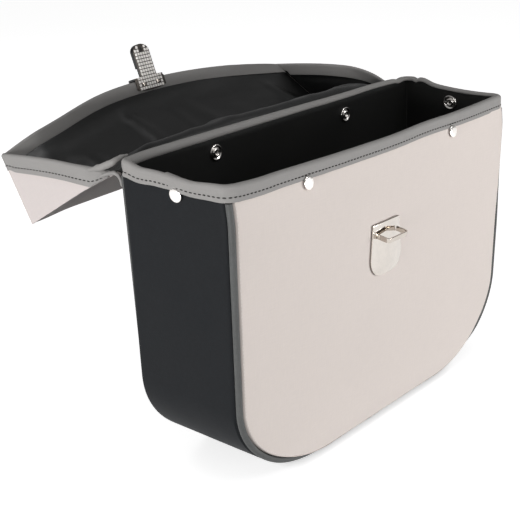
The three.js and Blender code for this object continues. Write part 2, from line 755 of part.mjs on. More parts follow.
function lidMeshes() {
  const liningHalf = LID_HALF_WIDTH - LINING - GAP;
  const meshes = [
    named("lid_panel", lidSheet(LID_HALF_WIDTH, LINING + GAP, LID_STACK), paleCloth),
    named("lid_lining", lidSheet(liningHalf, 0, LINING), blackLining),
    named("lid_binding", lidTape(), greyTape),
  ];
  for (const [label, sign] of [["left", -1], ["right", 1]]) {
    const wing = wingSheet(sign, WING_X, WING_X + LID_WALL, LID_STACK);
    const wingLining = wingSheet(sign, liningHalf + GAP, WING_X - GAP, 0);
    meshes.push(named(`lid_wing_${label}`, wing, paleCloth));
    meshes.push(named(`lid_wing_lining_${label}`, wingLining, blackLining));
  }
  return meshes;
}

// Clasp, in a frame on the lid's edge: X along the edge, Y on beyond it, Z to the lining's side.

function extruded(shape, near, far) {
  const flat = new THREE.ExtrudeGeometry(shape, { depth: far - near, bevelEnabled: false, curveSegments: 8 });
  return flat.translate(0, 0, near);
}

// Sides and shallow round tip of the tongue, drawn from its right root to its left root.
function drawTongue(shape, root, tipEnd) {
  const { width, tip } = CLASP_TONGUE;
  shape.lineTo(width / 2, root);
  shape.lineTo(width / 2, tipEnd - tip);
  shape.absellipse(0, tipEnd - tip, width / 2, tip, 0, Math.PI);
  shape.lineTo(-width / 2, root);
}

function rivetHole(across) {
  const corners = [];
  const radius = CLASP_RIVET.shank + GAP;
  for (let step = 0; step < STUD_SIDES; step += 1) {
    const angle = (step / STUD_SIDES) * 2 * Math.PI;
    const corner = new THREE.Vector2(Math.cos(angle), Math.sin(angle)).multiplyScalar(radius);
    corners.push(corner.add(new THREE.Vector2(across, -CLASP_RIVET.below)));
  }
  return new THREE.Path(corners);
}

function claspPlate(lip, tipEnd) {
  const { width, leg, bulge, chamfer } = CLASP_BASE;
  const half = width / 2;
  const shape = new THREE.Shape();
  shape.moveTo(-half, -leg);
  shape.quadraticCurveTo(0, -leg - 2 * bulge, half, -leg);
  shape.lineTo(half, lip - chamfer);
  shape.lineTo(half - chamfer, lip);
  drawTongue(shape, lip, tipEnd);
  shape.lineTo(-half, lip);
  const slot = new THREE.Path();
  const [side, middle, reach] = [CLASP_SLOT.width / 2, tipEnd - CLASP_SLOT.below, CLASP_SLOT.length / 2];
  slot.moveTo(-side, middle - reach);
  slot.lineTo(side, middle - reach);
  slot.lineTo(side, middle + reach);
  slot.lineTo(-side, middle + reach);
  shape.holes.push(slot, rivetHole(-CLASP_RIVET.across), rivetHole(CLASP_RIVET.across));
  return shape;
}

// Block of the tongue's dark back, from a root to the tip.
function tongueBack(root, tipEnd) {
  const shape = new THREE.Shape();
  shape.moveTo(-CLASP_TONGUE.width / 2, root);
  drawTongue(shape, root, tipEnd);
  return shape;
}

// Section of the clamp that hooks over the tape, in the plane of its thickness and its length.
function claspHook(face, lip) {
  const hook = new THREE.Shape();
  hook.moveTo(-face - CLASP_OUTER, -CLASP_BASE.leg);
  hook.lineTo(-face, -CLASP_BASE.leg);
  hook.lineTo(-face, CLASP_CLEAR);
  hook.lineTo(face - GAP, CLASP_CLEAR);
  hook.lineTo(face - GAP, lip);
  hook.lineTo(-face - CLASP_OUTER, lip);
  const clamp = new THREE.ExtrudeGeometry(hook, { depth: CLASP_BASE.width, bevelEnabled: false });
  return clamp.rotateY(-Math.PI / 2).translate(CLASP_BASE.width / 2, 0, 0);
}

function claspRivet() {
  const { shank, head, tall, brow, browTall } = CLASP_RIVET;
  const top = CLASP_PLATE + GAP;
  const profile = [
    new THREE.Vector2(0, GAP),
    new THREE.Vector2(shank, GAP),
    new THREE.Vector2(shank, top),
    new THREE.Vector2(head, top),
    new THREE.Vector2(head * brow, top + tall * browTall),
    new THREE.Vector2(0, top + tall),
  ];
  return new THREE.LatheGeometry(profile, STUD_SIDES).rotateX(Math.PI / 2);
}

function claspGroup() {
  const edgeAt = (x) => {
    const { lip: direction, edge } = lidSection(x);
    const middle = edge.clone().addScaledVector(outerNormal(direction), LID_STACK / 2);
    return new THREE.Vector3(x, middle.x, middle.y);
  };
  const half = CLASP_BASE.width / 2;
  const alongEdge = edgeAt(CLASP_X + half).sub(edgeAt(CLASP_X - half)).normalize();
  const upright = lidSection(CLASP_X).lip;
  const inward = alongEdge.clone().cross(new THREE.Vector3(0, upright.x, upright.y)).normalize();
  const beyond = inward.clone().cross(alongEdge);
  const group = new THREE.Group();
  group.position.copy(edgeAt(CLASP_X));
  group.setRotationFromMatrix(new THREE.Matrix4().makeBasis(alongEdge, beyond, inward));

  const face = tapeHalf(LID_STACK) + CLASP_CLEAR;
  const lip = CLASP_CLEAR + CLASP_OUTER;
  const tipEnd = lip + CLASP_TONGUE.length;
  const back = face - GAP;
  const neck = extruded(tongueBack(lip - TAPE / 2, tipEnd), back - CLASP_NECK, back);
  const block = extruded(tongueBack(lip + CLASP_TONGUE.neck, tipEnd), back - CLASP_BODY, back);
  const body = named("clasp_body", joined([claspHook(face, lip), neck, block]), blackPlastic);
  const plate = named("clasp_plate", extruded(claspPlate(lip, tipEnd), face, face + CLASP_PLATE), nickel);
  group.add(body, plate);
  for (const [label, sign] of [["left", -1], ["right", 1]]) {
    const rivet = named(`clasp_rivet_${label}`, claspRivet(), nickel);
    rivet.position.set(sign * CLASP_RIVET.across, -CLASP_RIVET.below, face);
    group.add(rivet);
  }
  return group;
}

// Body

function bodyMeshes() {
  const gussetBores = [...shankBores("left"), ...shankBores("right")];
  const wallBack = PANEL_RECESS + BODY_WALL;
  const liningFront = wallBack + GAP;
  const liningBack = liningFront + LINING;
  const clear = SEAM + GAP;
  const panels = [
    ["front_panel", "front", PANEL_STEPS, PANEL_RECESS, wallBack, SEAM, paleCloth],
    ["front_lining", "front", PANEL_LINING_STEPS, liningFront, liningBack, clear, blackLining],
    ["back_panel", "back", 2, PANEL_RECESS, wallBack, SEAM, blackLeathercloth],
    ["back_lining", "back", 2, liningFront, liningBack, clear, blackLining],
  ];
  const meshes = panels.map(([name, side, columns, near, far, inset, finish]) =>
    named(name, without(panelSheet(side, columns, near, far, inset), shankBores(side)), finish),
  );
  const band = without(gussetBand(0, BODY_WALL, SEAM), gussetBores);
  const bandLining = without(gussetBand(BODY_WALL + GAP, BODY_STACK, clear), gussetBores);
  meshes.push(named("gusset", band, blackLeathercloth));
  meshes.push(named("gusset_lining", bandLining, blackLining));
  meshes.push(named("piping_front", pipingCord("front"), greyPiping));
  meshes.push(named("piping_back", pipingCord("back"), greyPiping));
  meshes.push(named("mouth_binding", without(mouthTape(), studNotches()), greyTape));
  return meshes;
}

const saddlebag = new THREE.Group();
saddlebag.add(...bodyMeshes(), ...studMeshes(), ...keeperMeshes(), ...lidMeshes(), claspGroup());

export default saddlebag;
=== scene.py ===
"""A moped saddlebag that stands open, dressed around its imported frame."""

import logging
import math
from dataclasses import dataclass
from enum import Enum
from typing import Optional, Sequence, Union

import bpy
import numpy as np
from mathutils import Matrix, Vector, geometry, noise

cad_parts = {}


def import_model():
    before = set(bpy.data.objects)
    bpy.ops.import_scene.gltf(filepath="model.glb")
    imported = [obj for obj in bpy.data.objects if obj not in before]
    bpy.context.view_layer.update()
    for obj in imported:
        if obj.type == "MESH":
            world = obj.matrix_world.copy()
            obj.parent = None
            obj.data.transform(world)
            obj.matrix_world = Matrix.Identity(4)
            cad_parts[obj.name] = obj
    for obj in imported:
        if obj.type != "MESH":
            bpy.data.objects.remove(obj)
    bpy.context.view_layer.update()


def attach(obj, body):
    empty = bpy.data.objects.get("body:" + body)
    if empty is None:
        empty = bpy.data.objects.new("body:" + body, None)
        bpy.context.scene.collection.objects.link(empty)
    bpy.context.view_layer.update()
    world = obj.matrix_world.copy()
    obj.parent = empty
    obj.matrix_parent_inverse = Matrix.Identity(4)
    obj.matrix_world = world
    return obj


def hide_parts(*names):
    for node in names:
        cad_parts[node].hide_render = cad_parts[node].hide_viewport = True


LOG = logging.getLogger("saddlebag")
MM = 0.001
BODY = "root"
CUT = "cut"
SHARP_DEG = 38.0

Array = np.ndarray
Colour = tuple[float, float, float]
Number = Union[float, complex, Array]
Four = tuple[Array, Array, Array, Array]
Socket = bpy.types.NodeSocket


class Side(Enum):
    """A side of the bag's mouth, with the angle in degrees that it faces."""

    FRONT = -90.0
    RIGHT = 0.0
    BACK = 90.0
    LEFT = 180.0


class Hold(Enum):
    """How a piece of cloth is held."""

    STRETCHED = "stretched"
    FOLDED = "folded"


def lerp(start: Number, end: Number, share: Number) -> Number:
    """Value some share of the way from start to end."""
    return start + (end - start) * share


def smooth_step(low: float, high: float, value: Number) -> Array:
    """Share that eases from 0 at low and below to 1 at high and above."""
    share = np.clip((np.asarray(value, float) - low) / (high - low), 0.0, 1.0)
    return share * share * (3.0 - 2.0 * share)


def bell(middle: float, width: float, value: Number) -> Array:
    """Smooth bump of height 1 about middle, fading over width."""
    return np.exp(-(((np.asarray(value, float) - middle) / width) ** 2))


def sag(share: Number) -> Number:
    """Parabola that is 0 at both ends and 1 half way."""
    return 4.0 * share * (1.0 - share)


def columns_of(*parts: Number) -> Array:
    """Values stretched to one shape and set side by side along a new last axis."""
    return np.stack(np.broadcast_arrays(*parts), axis=-1)


def soft_noise(points: Array, grain: float, seed: float) -> Array:
    """Smooth noise between about -1 and 1.

    Args:
        points: Places in millimetres, with x, y and z in the last axis.
        grain: Size of a blotch in millimetres.
        seed: Offset that picks another pattern.

    Returns:
        One value for each place.
    """
    flat = np.asarray(points, float).reshape(-1, 3) / grain + seed
    values = [noise.noise(place) for place in flat.tolist()]
    return np.array(values).reshape(points.shape[:-1])


def unit(vectors: Array) -> Array:
    """Vectors along the last axis scaled to length 1."""
    lengths = np.linalg.norm(vectors, axis=-1, keepdims=True)
    return vectors / np.maximum(lengths, 1e-9)


def along_lengths(line: Array) -> Array:
    """Distance walked along a line of points, from 0 at its first point."""
    steps = np.linalg.norm(np.diff(line, axis=0), axis=1)
    return np.concatenate([[0.0], np.cumsum(steps)])


def along_line(spots: Array, walked: Array, values: Array) -> Array:
    """Rows of values at some distances along a line, where walked is the distance of each row."""
    return np.stack([np.interp(spots, walked, column) for column in values.T], axis=-1)


def round_angles(sides: int) -> Array:
    """Even angles once round a circle."""
    return np.arange(sides) / sides * 2.0 * math.pi


@dataclass
class Shell:
    """Closed skin of one piece, in millimetres.

    Attributes:
        points: Corner places, one row each.
        faces: Corner numbers of each face.
        cut: Place of each corner on the flat cloth.
    """

    points: Array
    faces: list[list[int]]
    cut: Array

    def moved(self, frame: Array) -> "Shell":
        """Shell set into a frame given as a 4 by 4 matrix."""
        places = self.points @ frame[:3, :3].T + frame[:3, 3]
        return Shell(places, self.faces, self.cut)

    def cut_area(self) -> float:
        """Area of all faces on the flat cloth, in square millimetres.

        Returns:
            The sum for both sides of the cloth.
        """
        total = 0.0
        for face in self.faces:
            x, y = self.cut[face].T
            total += abs(float(x @ np.roll(y, -1) - y @ np.roll(x, -1))) / 2.0
        return total

    def facing_out(self) -> "Shell":
        """Shell with its faces turned so that they point outwards.

        Returns:
            This shell, or a copy with every face reversed.
        """
        volume = 0.0
        for face in self.faces:
            first = self.points[face[0]]
            for second, third in zip(face[1:-1], face[2:]):
                volume += float(first @ np.cross(self.points[second], self.points[third]))
        if volume >= 0.0:
            return self
        return Shell(self.points, [face[::-1] for face in self.faces], self.cut)


def joined(shells: Sequence[Shell]) -> Shell:
    """Shells put together as one.

    Args:
        shells: Shells to put together.

    Returns:
        One shell with all their corners and faces.
    """
    faces: list[list[int]] = []
    start = 0
    for shell in shells:
        faces += [[corner + start for corner in face] for face in shell.faces]
        start += len(shell.points)
    points = np.concatenate([shell.points for shell in shells])
    return Shell(points, faces, np.concatenate([shell.cut for shell in shells]))


def sheet_shell(near: Array, far: Array, cut: Array, loop: bool = False, hem: float = 0.0) -> Shell:
    """Cloth between two faces with a rounded rim.

    Args:
        near: One face as rows and columns of places.
        far: The other face, with the same rows and columns.
        cut: Place of each row and column on the flat cloth.
        loop: Whether the last row joins the first.
        hem: How far the middle of the rim stands out.

    Returns:
        The closed skin of the cloth.
    """
    rows, columns = near.shape[:2]
    number = np.arange(rows * columns).reshape(rows, columns)
    lower = number if loop else number[:-1]
    upper = np.roll(number, -1, axis=0) if loop else number[1:]
    quads = columns_of(lower[:, :-1], lower[:, 1:], upper[:, 1:], upper[:, :-1]).reshape(-1, 4)
    layer = number.size
    faces = quads.tolist() + (quads[:, ::-1] + layer).tolist()
    middle = ((near + far) / 2.0).reshape(-1, 3)
    flat = cut.reshape(-1, 2)
    points = [near.reshape(-1, 3), far.reshape(-1, 3)]
    cuts = [flat, flat]
    start = 2 * layer
    for here in rim_walks(number, loop):
        row, column = np.divmod(here, columns)
        inner_row = row if loop else np.clip(row, 1, rows - 2)
        inner = middle[number[inner_row, np.clip(column, 1, columns - 2)]]
        points.append(middle[here] + hem * unit(middle[here] - inner))
        cuts.append(flat[here])
        rim = np.arange(start, start + len(here))
        beyond, rim_beyond = np.roll(here, -1), np.roll(rim, -1)
        faces += columns_of(beyond, here, rim, rim_beyond).tolist()
        faces += columns_of(rim_beyond, rim, here + layer, beyond + layer).tolist()
        start += len(here)
    return Shell(np.concatenate(points), faces, np.concatenate(cuts)).facing_out()


def rim_walks(number: Array, loop: bool) -> list[Array]:
    """Closed walks round the rims of a grid, with the grid on the left.

    Args:
        number: Corner numbers in rows and columns.
        loop: Whether the last row joins the first.

    Returns:
        The corner numbers along each rim.
    """
    if loop:
        return [number[:, -1], number[::-1, 0]]
    return [np.concatenate([number[0, :-1], number[:-1, -1], number[-1, :0:-1], number[:0:-1, 0]])]


def band_faces(number: Array, loop: bool) -> list[list[int]]:
    """Faces between rings of corners.

    Args:
        number: Corner numbers, one row for each ring.
        loop: Whether the last ring joins the first.

    Returns:
        Four corner numbers for each face.
    """
    lower = number if loop else number[:-1]
    upper = np.roll(number, -1, axis=0) if loop else number[1:]
    corners = (lower, np.roll(lower, -1, axis=1), np.roll(upper, -1, axis=1), upper)
    return columns_of(*corners).reshape(-1, 4).tolist()


def capped_faces(count: int, sides: int) -> list[list[int]]:
    """Faces of a turned solid: its rings, then a fan to the pole at each end.

    Args:
        count: Number of rings.
        sides: Corners of each ring.

    Returns:
        Corner numbers of each face, with the two poles after the rings.
    """
    number = np.arange(count * sides).reshape(count, sides)
    faces = band_faces(number, False)
    for pole, ring in ((number.size, number[0, ::-1]), (number.size + 1, number[-1])):
        faces += columns_of(pole, ring, np.roll(ring, -1)).tolist()
    return faces


def tube_shell(rings: Array, loop: bool = False) -> Shell:
    """Bar through rings of places that all follow one section.

    Args:
        rings: Rings in order, each with the same number of places.
        loop: Whether the last ring joins the first.

    Returns:
        The closed skin of the bar.
    """
    count, sides = rings.shape[:2]
    number = np.arange(count * sides).reshape(count, sides)
    faces = band_faces(number, loop)
    if not loop:
        faces += [number[0, ::-1].tolist(), number[-1].tolist()]
    length = along_lengths(rings.mean(axis=1))
    around = along_lengths(rings[count // 2])
    cut = columns_of(around[None, :], length[:, None])
    return Shell(rings.reshape(-1, 3), faces, cut.reshape(-1, 2)).facing_out()


def turned_shell(profile: Sequence[tuple[float, float]], sides: int) -> Shell:
    """Solid turned about the Z axis.

    Args:
        profile: Radius and height of each corner, with a radius of 0 at both ends.
        sides: Number of flats round the axis.

    Returns:
        The closed skin of the solid.
    """
    angles = round_angles(sides)
    circle = columns_of(np.cos(angles), np.sin(angles))
    body = [
        np.column_stack([circle * radius, np.full(sides, height)])
        for radius, height in profile[1:-1]
    ]
    poles = [[0.0, 0.0, profile[0][1]], [0.0, 0.0, profile[-1][1]]]
    points = np.concatenate([*body, poles])
    return Shell(points, capped_faces(len(body), sides), points[:, :2].copy()).facing_out()


def offset_loop(loop: Array, inset: float) -> Array:
    """Flat loop moved to its left by some distance.

    Args:
        loop: Corners of the loop in order.
        inset: Distance to move each side.

    Returns:
        The moved corners.
    """
    before = unit(loop - np.roll(loop, 1, axis=0))
    after = unit(np.roll(loop, -1, axis=0) - loop)
    left = unit(columns_of(-(before + after)[:, 1], (before + after)[:, 0]))
    side = columns_of(-before[:, 1], before[:, 0])
    lean = np.maximum(np.sum(left * side, axis=1, keepdims=True), 0.4)
    return loop + left * inset / lean


def plate_shell(loops: Sequence[Array], low: float, high: float, bevel: float) -> Shell:
    """Flat plate with a bevelled upper edge.

    Args:
        loops: Outline anticlockwise, then the holes clockwise.
        low: Height of the underside.
        high: Height of the upper face.
        bevel: Width and depth of the bevel.

    Returns:
        The closed skin of the plate.
    """
    levels = [(low, 0.0), (high - bevel, 0.0), (high - 0.3 * bevel, 0.3 * bevel), (high, bevel)]
    rings: list[Array] = []
    numbers: list[Array] = []
    faces: list[list[int]] = []
    total = 0
    for loop in loops:
        rings.append(np.stack([
            np.column_stack([offset_loop(loop, inset), np.full(len(loop), level)])
            for level, inset in levels
        ]))
        numbers.append(total + np.arange(len(levels) * len(loop)).reshape(len(levels), -1))
        faces += band_faces(numbers[-1], False)
        total += numbers[-1].size
    places = np.concatenate([ring.reshape(-1, 3) for ring in rings])
    for level in (0, -1):
        corners = np.concatenate([number[level] for number in numbers])
        outlines = [[Vector((x, y, 0.0)) for x, y, _ in ring[level]] for ring in rings]
        for triangle in geometry.tessellate_polygon(outlines):
            face = upward(corners[list(triangle)].tolist(), places)
            faces.append(face[::-1] if level == 0 else face)
    return Shell(places, faces, places[:, :2].copy()).facing_out()


def upward(face: list[int], places: Array) -> list[int]:
    """Triangle turned so that it runs anticlockwise seen from above.

    Args:
        face: Corner numbers of the triangle.
        places: Places of all corners.

    Returns:
        The triangle, reversed where needed.
    """
    first, second, third = places[face, :2]
    one, two = second - first, third - first
    return face if one[0] * two[1] - one[1] * two[0] > 0.0 else face[::-1]


def stitch_shell(places: Array, alongs: Array, outs: Array, length: float, thick: float) -> Shell:
    """Row of stitches, each a short plump thread.

    Args:
        places: Middle of each stitch.
        alongs: Direction of each stitch.
        outs: Direction off the cloth at each stitch.
        length: Length of a stitch.
        thick: Radius of the thread.

    Returns:
        One shell with all the stitches.
    """
    sides, bands = 6, 5
    angles = round_angles(sides)
    turns = (np.arange(1, bands) / bands - 0.5) * math.pi
    ring = columns_of(np.zeros(sides), np.cos(angles), np.sin(angles))
    local = np.concatenate([
        np.array([math.sin(turn) * length / 2.0, 0.0, 0.0]) + ring * thick * math.cos(turn) ** 0.5
        for turn in turns
    ] + [np.array([[-length / 2.0, 0.0, 0.0], [length / 2.0, 0.0, 0.0]])])
    faces = capped_faces(bands - 1, sides)
    first = unit(alongs)
    across = unit(np.cross(outs, first))
    frames = np.stack([first, across, np.cross(first, across)], axis=-2)
    points = places[:, None, :] + np.einsum("ij,njk->nik", local, frames)
    return joined([Shell(dots, faces, dots[:, :2].copy()).facing_out() for dots in points])


def spaced_stitches(line: Array, outs: Array, pitch: float, loop: bool) -> tuple[Array, Array, Array]:
    """Places for stitches at an even pitch along a seam.

    Args:
        line: Places along the seam.
        outs: Direction off the cloth at each of them.
        pitch: Distance from one stitch to the next.
        loop: Whether the seam closes on itself.

    Returns:
        The middle, the direction and the outward direction of each stitch.
    """
    if loop:
        line = np.concatenate([line, line[:1]])
        outs = np.concatenate([outs, outs[:1]])
    walked = along_lengths(line)
    count = int(walked[-1] / pitch)
    middles = (np.arange(count) + 0.5) * walked[-1] / count
    places = along_line(middles, walked, line)
    ahead = along_line(middles + 0.5, walked, line)
    behind = along_line(middles - 0.5, walked, line)
    off = along_line(middles, walked, outs)
    return places, ahead - behind, unit(off)


class FinishTree:
    """Node tree of one finish, built round its Principled shader."""

    def __init__(self, name: str) -> None:
        """Start an empty finish.

        Args:
            name: Name of the finish.
        """
        self.material = bpy.data.materials.new(name)
        self.material.use_nodes = True
        self.nodes = self.material.node_tree.nodes
        self.links = self.material.node_tree.links
        self.shader = self.nodes["Principled BSDF"]

    def node(self, kind: str, inputs: Optional[dict] = None, **settings) -> bpy.types.ShaderNode:
        """Add a node.

        Args:
            kind: Blender's name for the node type.
            inputs: Values or sockets by input name or number.
            **settings: Values of the node's own properties.

        Returns:
            The new node.
        """
        made = self.nodes.new(kind)
        for key, value in settings.items():
            setattr(made, key, value)
        return self.feed(made, inputs or {})

    def feed(self, node: bpy.types.ShaderNode, inputs: dict) -> bpy.types.ShaderNode:
        """Set or link inputs of a node.

        Args:
            node: Node to feed.
            inputs: Values or sockets by input name or number.

        Returns:
            The same node.
        """
        for key, value in inputs.items():
            if isinstance(value, Socket):
                self.links.new(value, node.inputs[key])
            else:
                node.inputs[key].default_value = value
        return node

    def place(self, scale: Sequence[float], cloth: bool) -> Socket:
        """Scaled place on the surface.

        Args:
            scale: Factor along each axis, per metre.
            cloth: Whether to use the flat cloth rather than the object.

        Returns:
            The socket with the scaled place.
        """
        if cloth:
            source = self.node("ShaderNodeUVMap", uv_map=CUT).outputs["UV"]
        else:
            source = self.node("ShaderNodeTexCoord").outputs["Object"]
        scaled = self.node("ShaderNodeVectorMath", {0: source, 1: tuple(scale)}, operation="MULTIPLY")
        return scaled.outputs["Vector"]

    def blotch(self, scale: Sequence[float], detail: float, cloth: bool = True) -> Socket:
        """Noise on the flat cloth or the object, with some blotches per metre along each axis."""
        inputs = {"Vector": self.place(scale, cloth), "Scale": 1.0, "Detail": detail}
        return self.node("ShaderNodeTexNoise", inputs).outputs["Fac"]

    def sum(self, *terms: tuple[Socket, float]) -> Socket:
        """Weighted sum of values.

        Args:
            *terms: Pairs of a socket and its weight.

        Returns:
            The socket with the sum.
        """
        total: Union[float, Socket] = 0.0
        for value, weight in terms:
            step = self.node("ShaderNodeMath", {0: value, 1: weight, 2: total}, operation="MULTIPLY_ADD")
            total = step.outputs[0]
        return total

    def remap(self, value: Socket, low: float, high: float, to_low: float, to_high: float) -> Socket:
        """Value stretched from one range to another, and clamped."""
        inputs = {"Value": value, 1: low, 2: high, 3: to_low, 4: to_high}
        return self.node("ShaderNodeMapRange", inputs).outputs["Result"]

    def tint(self, share: Socket, first: Colour, second: Colour) -> Socket:
        """Colour between two linear colours, by a share from 0 to 1."""
        inputs = {0: share, 6: (*first, 1.0), 7: (*second, 1.0)}
        return self.node("ShaderNodeMix", inputs, data_type="RGBA").outputs[2]

    def relief(self, height: Socket, strength: float, depth_mm: float) -> None:
        """Let a height value stand up as bump on the shader.

        Args:
            height: Socket with the height.
            strength: Strength of the bump.
            depth_mm: Depth that a height of 1 stands for.
        """
        inputs = {"Height": height, "Strength": strength, "Distance": depth_mm * MM}
        bump = self.node("ShaderNodeBump", inputs)
        self.feed(self.shader, {"Normal": bump.outputs["Normal"]})


def shaded(colour: Colour, factor: float) -> Colour:
    """Colour made darker or lighter by a factor."""
    return (colour[0] * factor, colour[1] * factor, colour[2] * factor)


@dataclass(frozen=True)
class WovenFinish:
    """Woven cloth with uneven threads.

    Attributes:
        name: Name of the finish.
        colour: Linear colour of the cloth.
        thread: Distance between threads in millimetres.
        contrast: How much the threads differ in colour.
        relief: Strength of the weave's bump.
        roughness: Mean roughness.
        sheen: Weight of the soft sheen.
        level: Specular level of the cloth.
    """

    name: str
    colour: Colour
    thread: float
    contrast: float
    relief: float
    roughness: float
    sheen: float
    level: float

    def build(self) -> bpy.types.Material:
        """Make the finish.

        Returns:
            The material.
        """
        tree = FinishTree(self.name)
        fine = 1.0 / (self.thread * MM)
        warp = tree.blotch((fine, fine * 0.06, 1.0), 2.0)
        weft = tree.blotch((fine * 0.06, fine, 1.0), 2.0)
        threads = tree.sum((warp, 0.5), (weft, 0.5))
        bands = []
        for direction in ("X", "Y"):
            inputs = {"Vector": tree.place((1.0, 1.0, 1.0), True), "Scale": fine / 2.0}
            bands.append(tree.node("ShaderNodeTexWave", inputs, bands_direction=direction).outputs["Fac"])
        weave = tree.node("ShaderNodeMath", {0: bands[0], 1: bands[1]}, operation="MULTIPLY").outputs[0]
        wear = tree.blotch((9.0, 9.0, 1.0), 3.0)
        tone = tree.sum((threads, 0.75), (weave, 0.1), (wear, 0.35))
        share = tree.remap(tone, 0.42, 0.78, 0.0, 1.0)
        light = shaded(self.colour, 1.0 + self.contrast)
        dark = shaded(self.colour, 1.0 - self.contrast)
        tree.feed(tree.shader, {
            "Base Color": tree.tint(share, dark, light),
            "Roughness": tree.remap(wear, 0.3, 0.7, self.roughness - 0.06, self.roughness + 0.06),
            "Sheen Weight": self.sheen,
            "Sheen Roughness": 0.5,
            "Specular IOR Level": self.level,
        })
        tree.relief(tree.sum((threads, 1.0), (weave, 0.5)), self.relief, 0.25)
        return tree.material


@dataclass(frozen=True)
class CoatedFinish:
    """Coated cloth with a fine pebbled grain.

    Attributes:
        name: Name of the finish.
        colour: Linear colour.
        grain: Size of a pebble in millimetres.
        relief: Strength of the grain's bump.
        roughness: Mean roughness.
        level: Specular level.
    """

    name: str
    colour: Colour
    grain: float
    relief: float
    roughness: float
    level: float

    def build(self) -> bpy.types.Material:
        """Make the finish.

        Returns:
            The material.
        """
        tree = FinishTree(self.name)
        fine = 1.0 / (self.grain * MM)
        inputs = {"Vector": tree.place((fine, fine, fine), False), "Scale": 1.0}
        pebbles = tree.node("ShaderNodeTexVoronoi", inputs, feature="SMOOTH_F1").outputs["Distance"]
        creases = tree.blotch((fine * 0.22,) * 3, 4.0, cloth=False)
        wear = tree.blotch((14.0, 14.0, 14.0), 4.0, cloth=False)
        tone = tree.sum((pebbles, 0.35), (creases, 0.35), (wear, 0.5))
        share = tree.remap(tone, 0.35, 0.85, 0.0, 1.0)
        tree.feed(tree.shader, {
            "Base Color": tree.tint(share, shaded(self.colour, 0.8), shaded(self.colour, 1.25)),
            "Roughness": tree.remap(wear, 0.3, 0.7, self.roughness - 0.07, self.roughness + 0.07),
            "Specular IOR Level": self.level,
        })
        tree.relief(tree.sum((pebbles, -0.8), (creases, 0.6)), self.relief, 0.2)
        return tree.material


@dataclass(frozen=True)
class MetalFinish:
    """Plated metal with a light haze and fine scratches.

    Attributes:
        name: Name of the finish.
        colour: Linear colour of the plating.
        roughness: Mean roughness.
        haze: Spread of the roughness.
    """

    name: str
    colour: Colour
    roughness: float
    haze: float

    def build(self) -> bpy.types.Material:
        """Make the finish.

        Returns:
            The material.
        """
        tree = FinishTree(self.name)
        haze = tree.blotch((120.0, 120.0, 120.0), 4.0, cloth=False)
        scratches = tree.blotch((2600.0, 180.0, 420.0), 2.0, cloth=False)
        tone = tree.sum((haze, 0.7), (scratches, 0.3))
        share = tree.remap(tone, 0.3, 0.7, 0.0, 1.0)
        low, high = self.roughness - self.haze, self.roughness + self.haze
        tree.feed(tree.shader, {
            "Base Color": tree.tint(share, shaded(self.colour, 0.93), shaded(self.colour, 1.04)),
            "Metallic": 1.0,
            "Roughness": tree.remap(tone, 0.3, 0.7, low, high),
        })
        tree.relief(tone, 0.04, 0.05)
        return tree.material


@dataclass(frozen=True)
class FloorFinish:
    """Pale seamless floor of the studio, lit from within like a light table, with a painted contact shadow
    where the bag stands near.

    Attributes:
        name: Name of the finish.
        colour: Linear colour.
        glow: Strength of its own light.
        painted_shadow_reach: Distance in metres within which an ambient occlusion node darkens that light
            as a painted contact shadow.
        shade: Share of the light that is left in that painted shadow.
    """

    name: str
    colour: Colour
    glow: float
    painted_shadow_reach: float = 0.009
    shade: float = 0.6

    def build(self) -> bpy.types.Material:
        """Make the finish.

        Returns:
            The material.
        """
        tree = FinishTree(self.name)
        cloud = tree.blotch((1.4, 1.4, 1.4), 3.0, cloth=False)
        shade = tree.node("ShaderNodeAmbientOcclusion", {"Distance": self.painted_shadow_reach}, samples=16)
        tree.feed(tree.shader, {
            "Base Color": tree.tint(cloud, shaded(self.colour, 0.98), self.colour),
            "Roughness": 0.9,
            "Specular IOR Level": 0.1,
            # Painted contact shadow: the floor's glow is darkened where ambient occlusion finds the bag
            # near.
            "Emission Color": tree.remap(shade.outputs["AO"], 0.0, 1.0, self.shade, 1.0),
            "Emission Strength": self.glow,
        })
        return tree.material


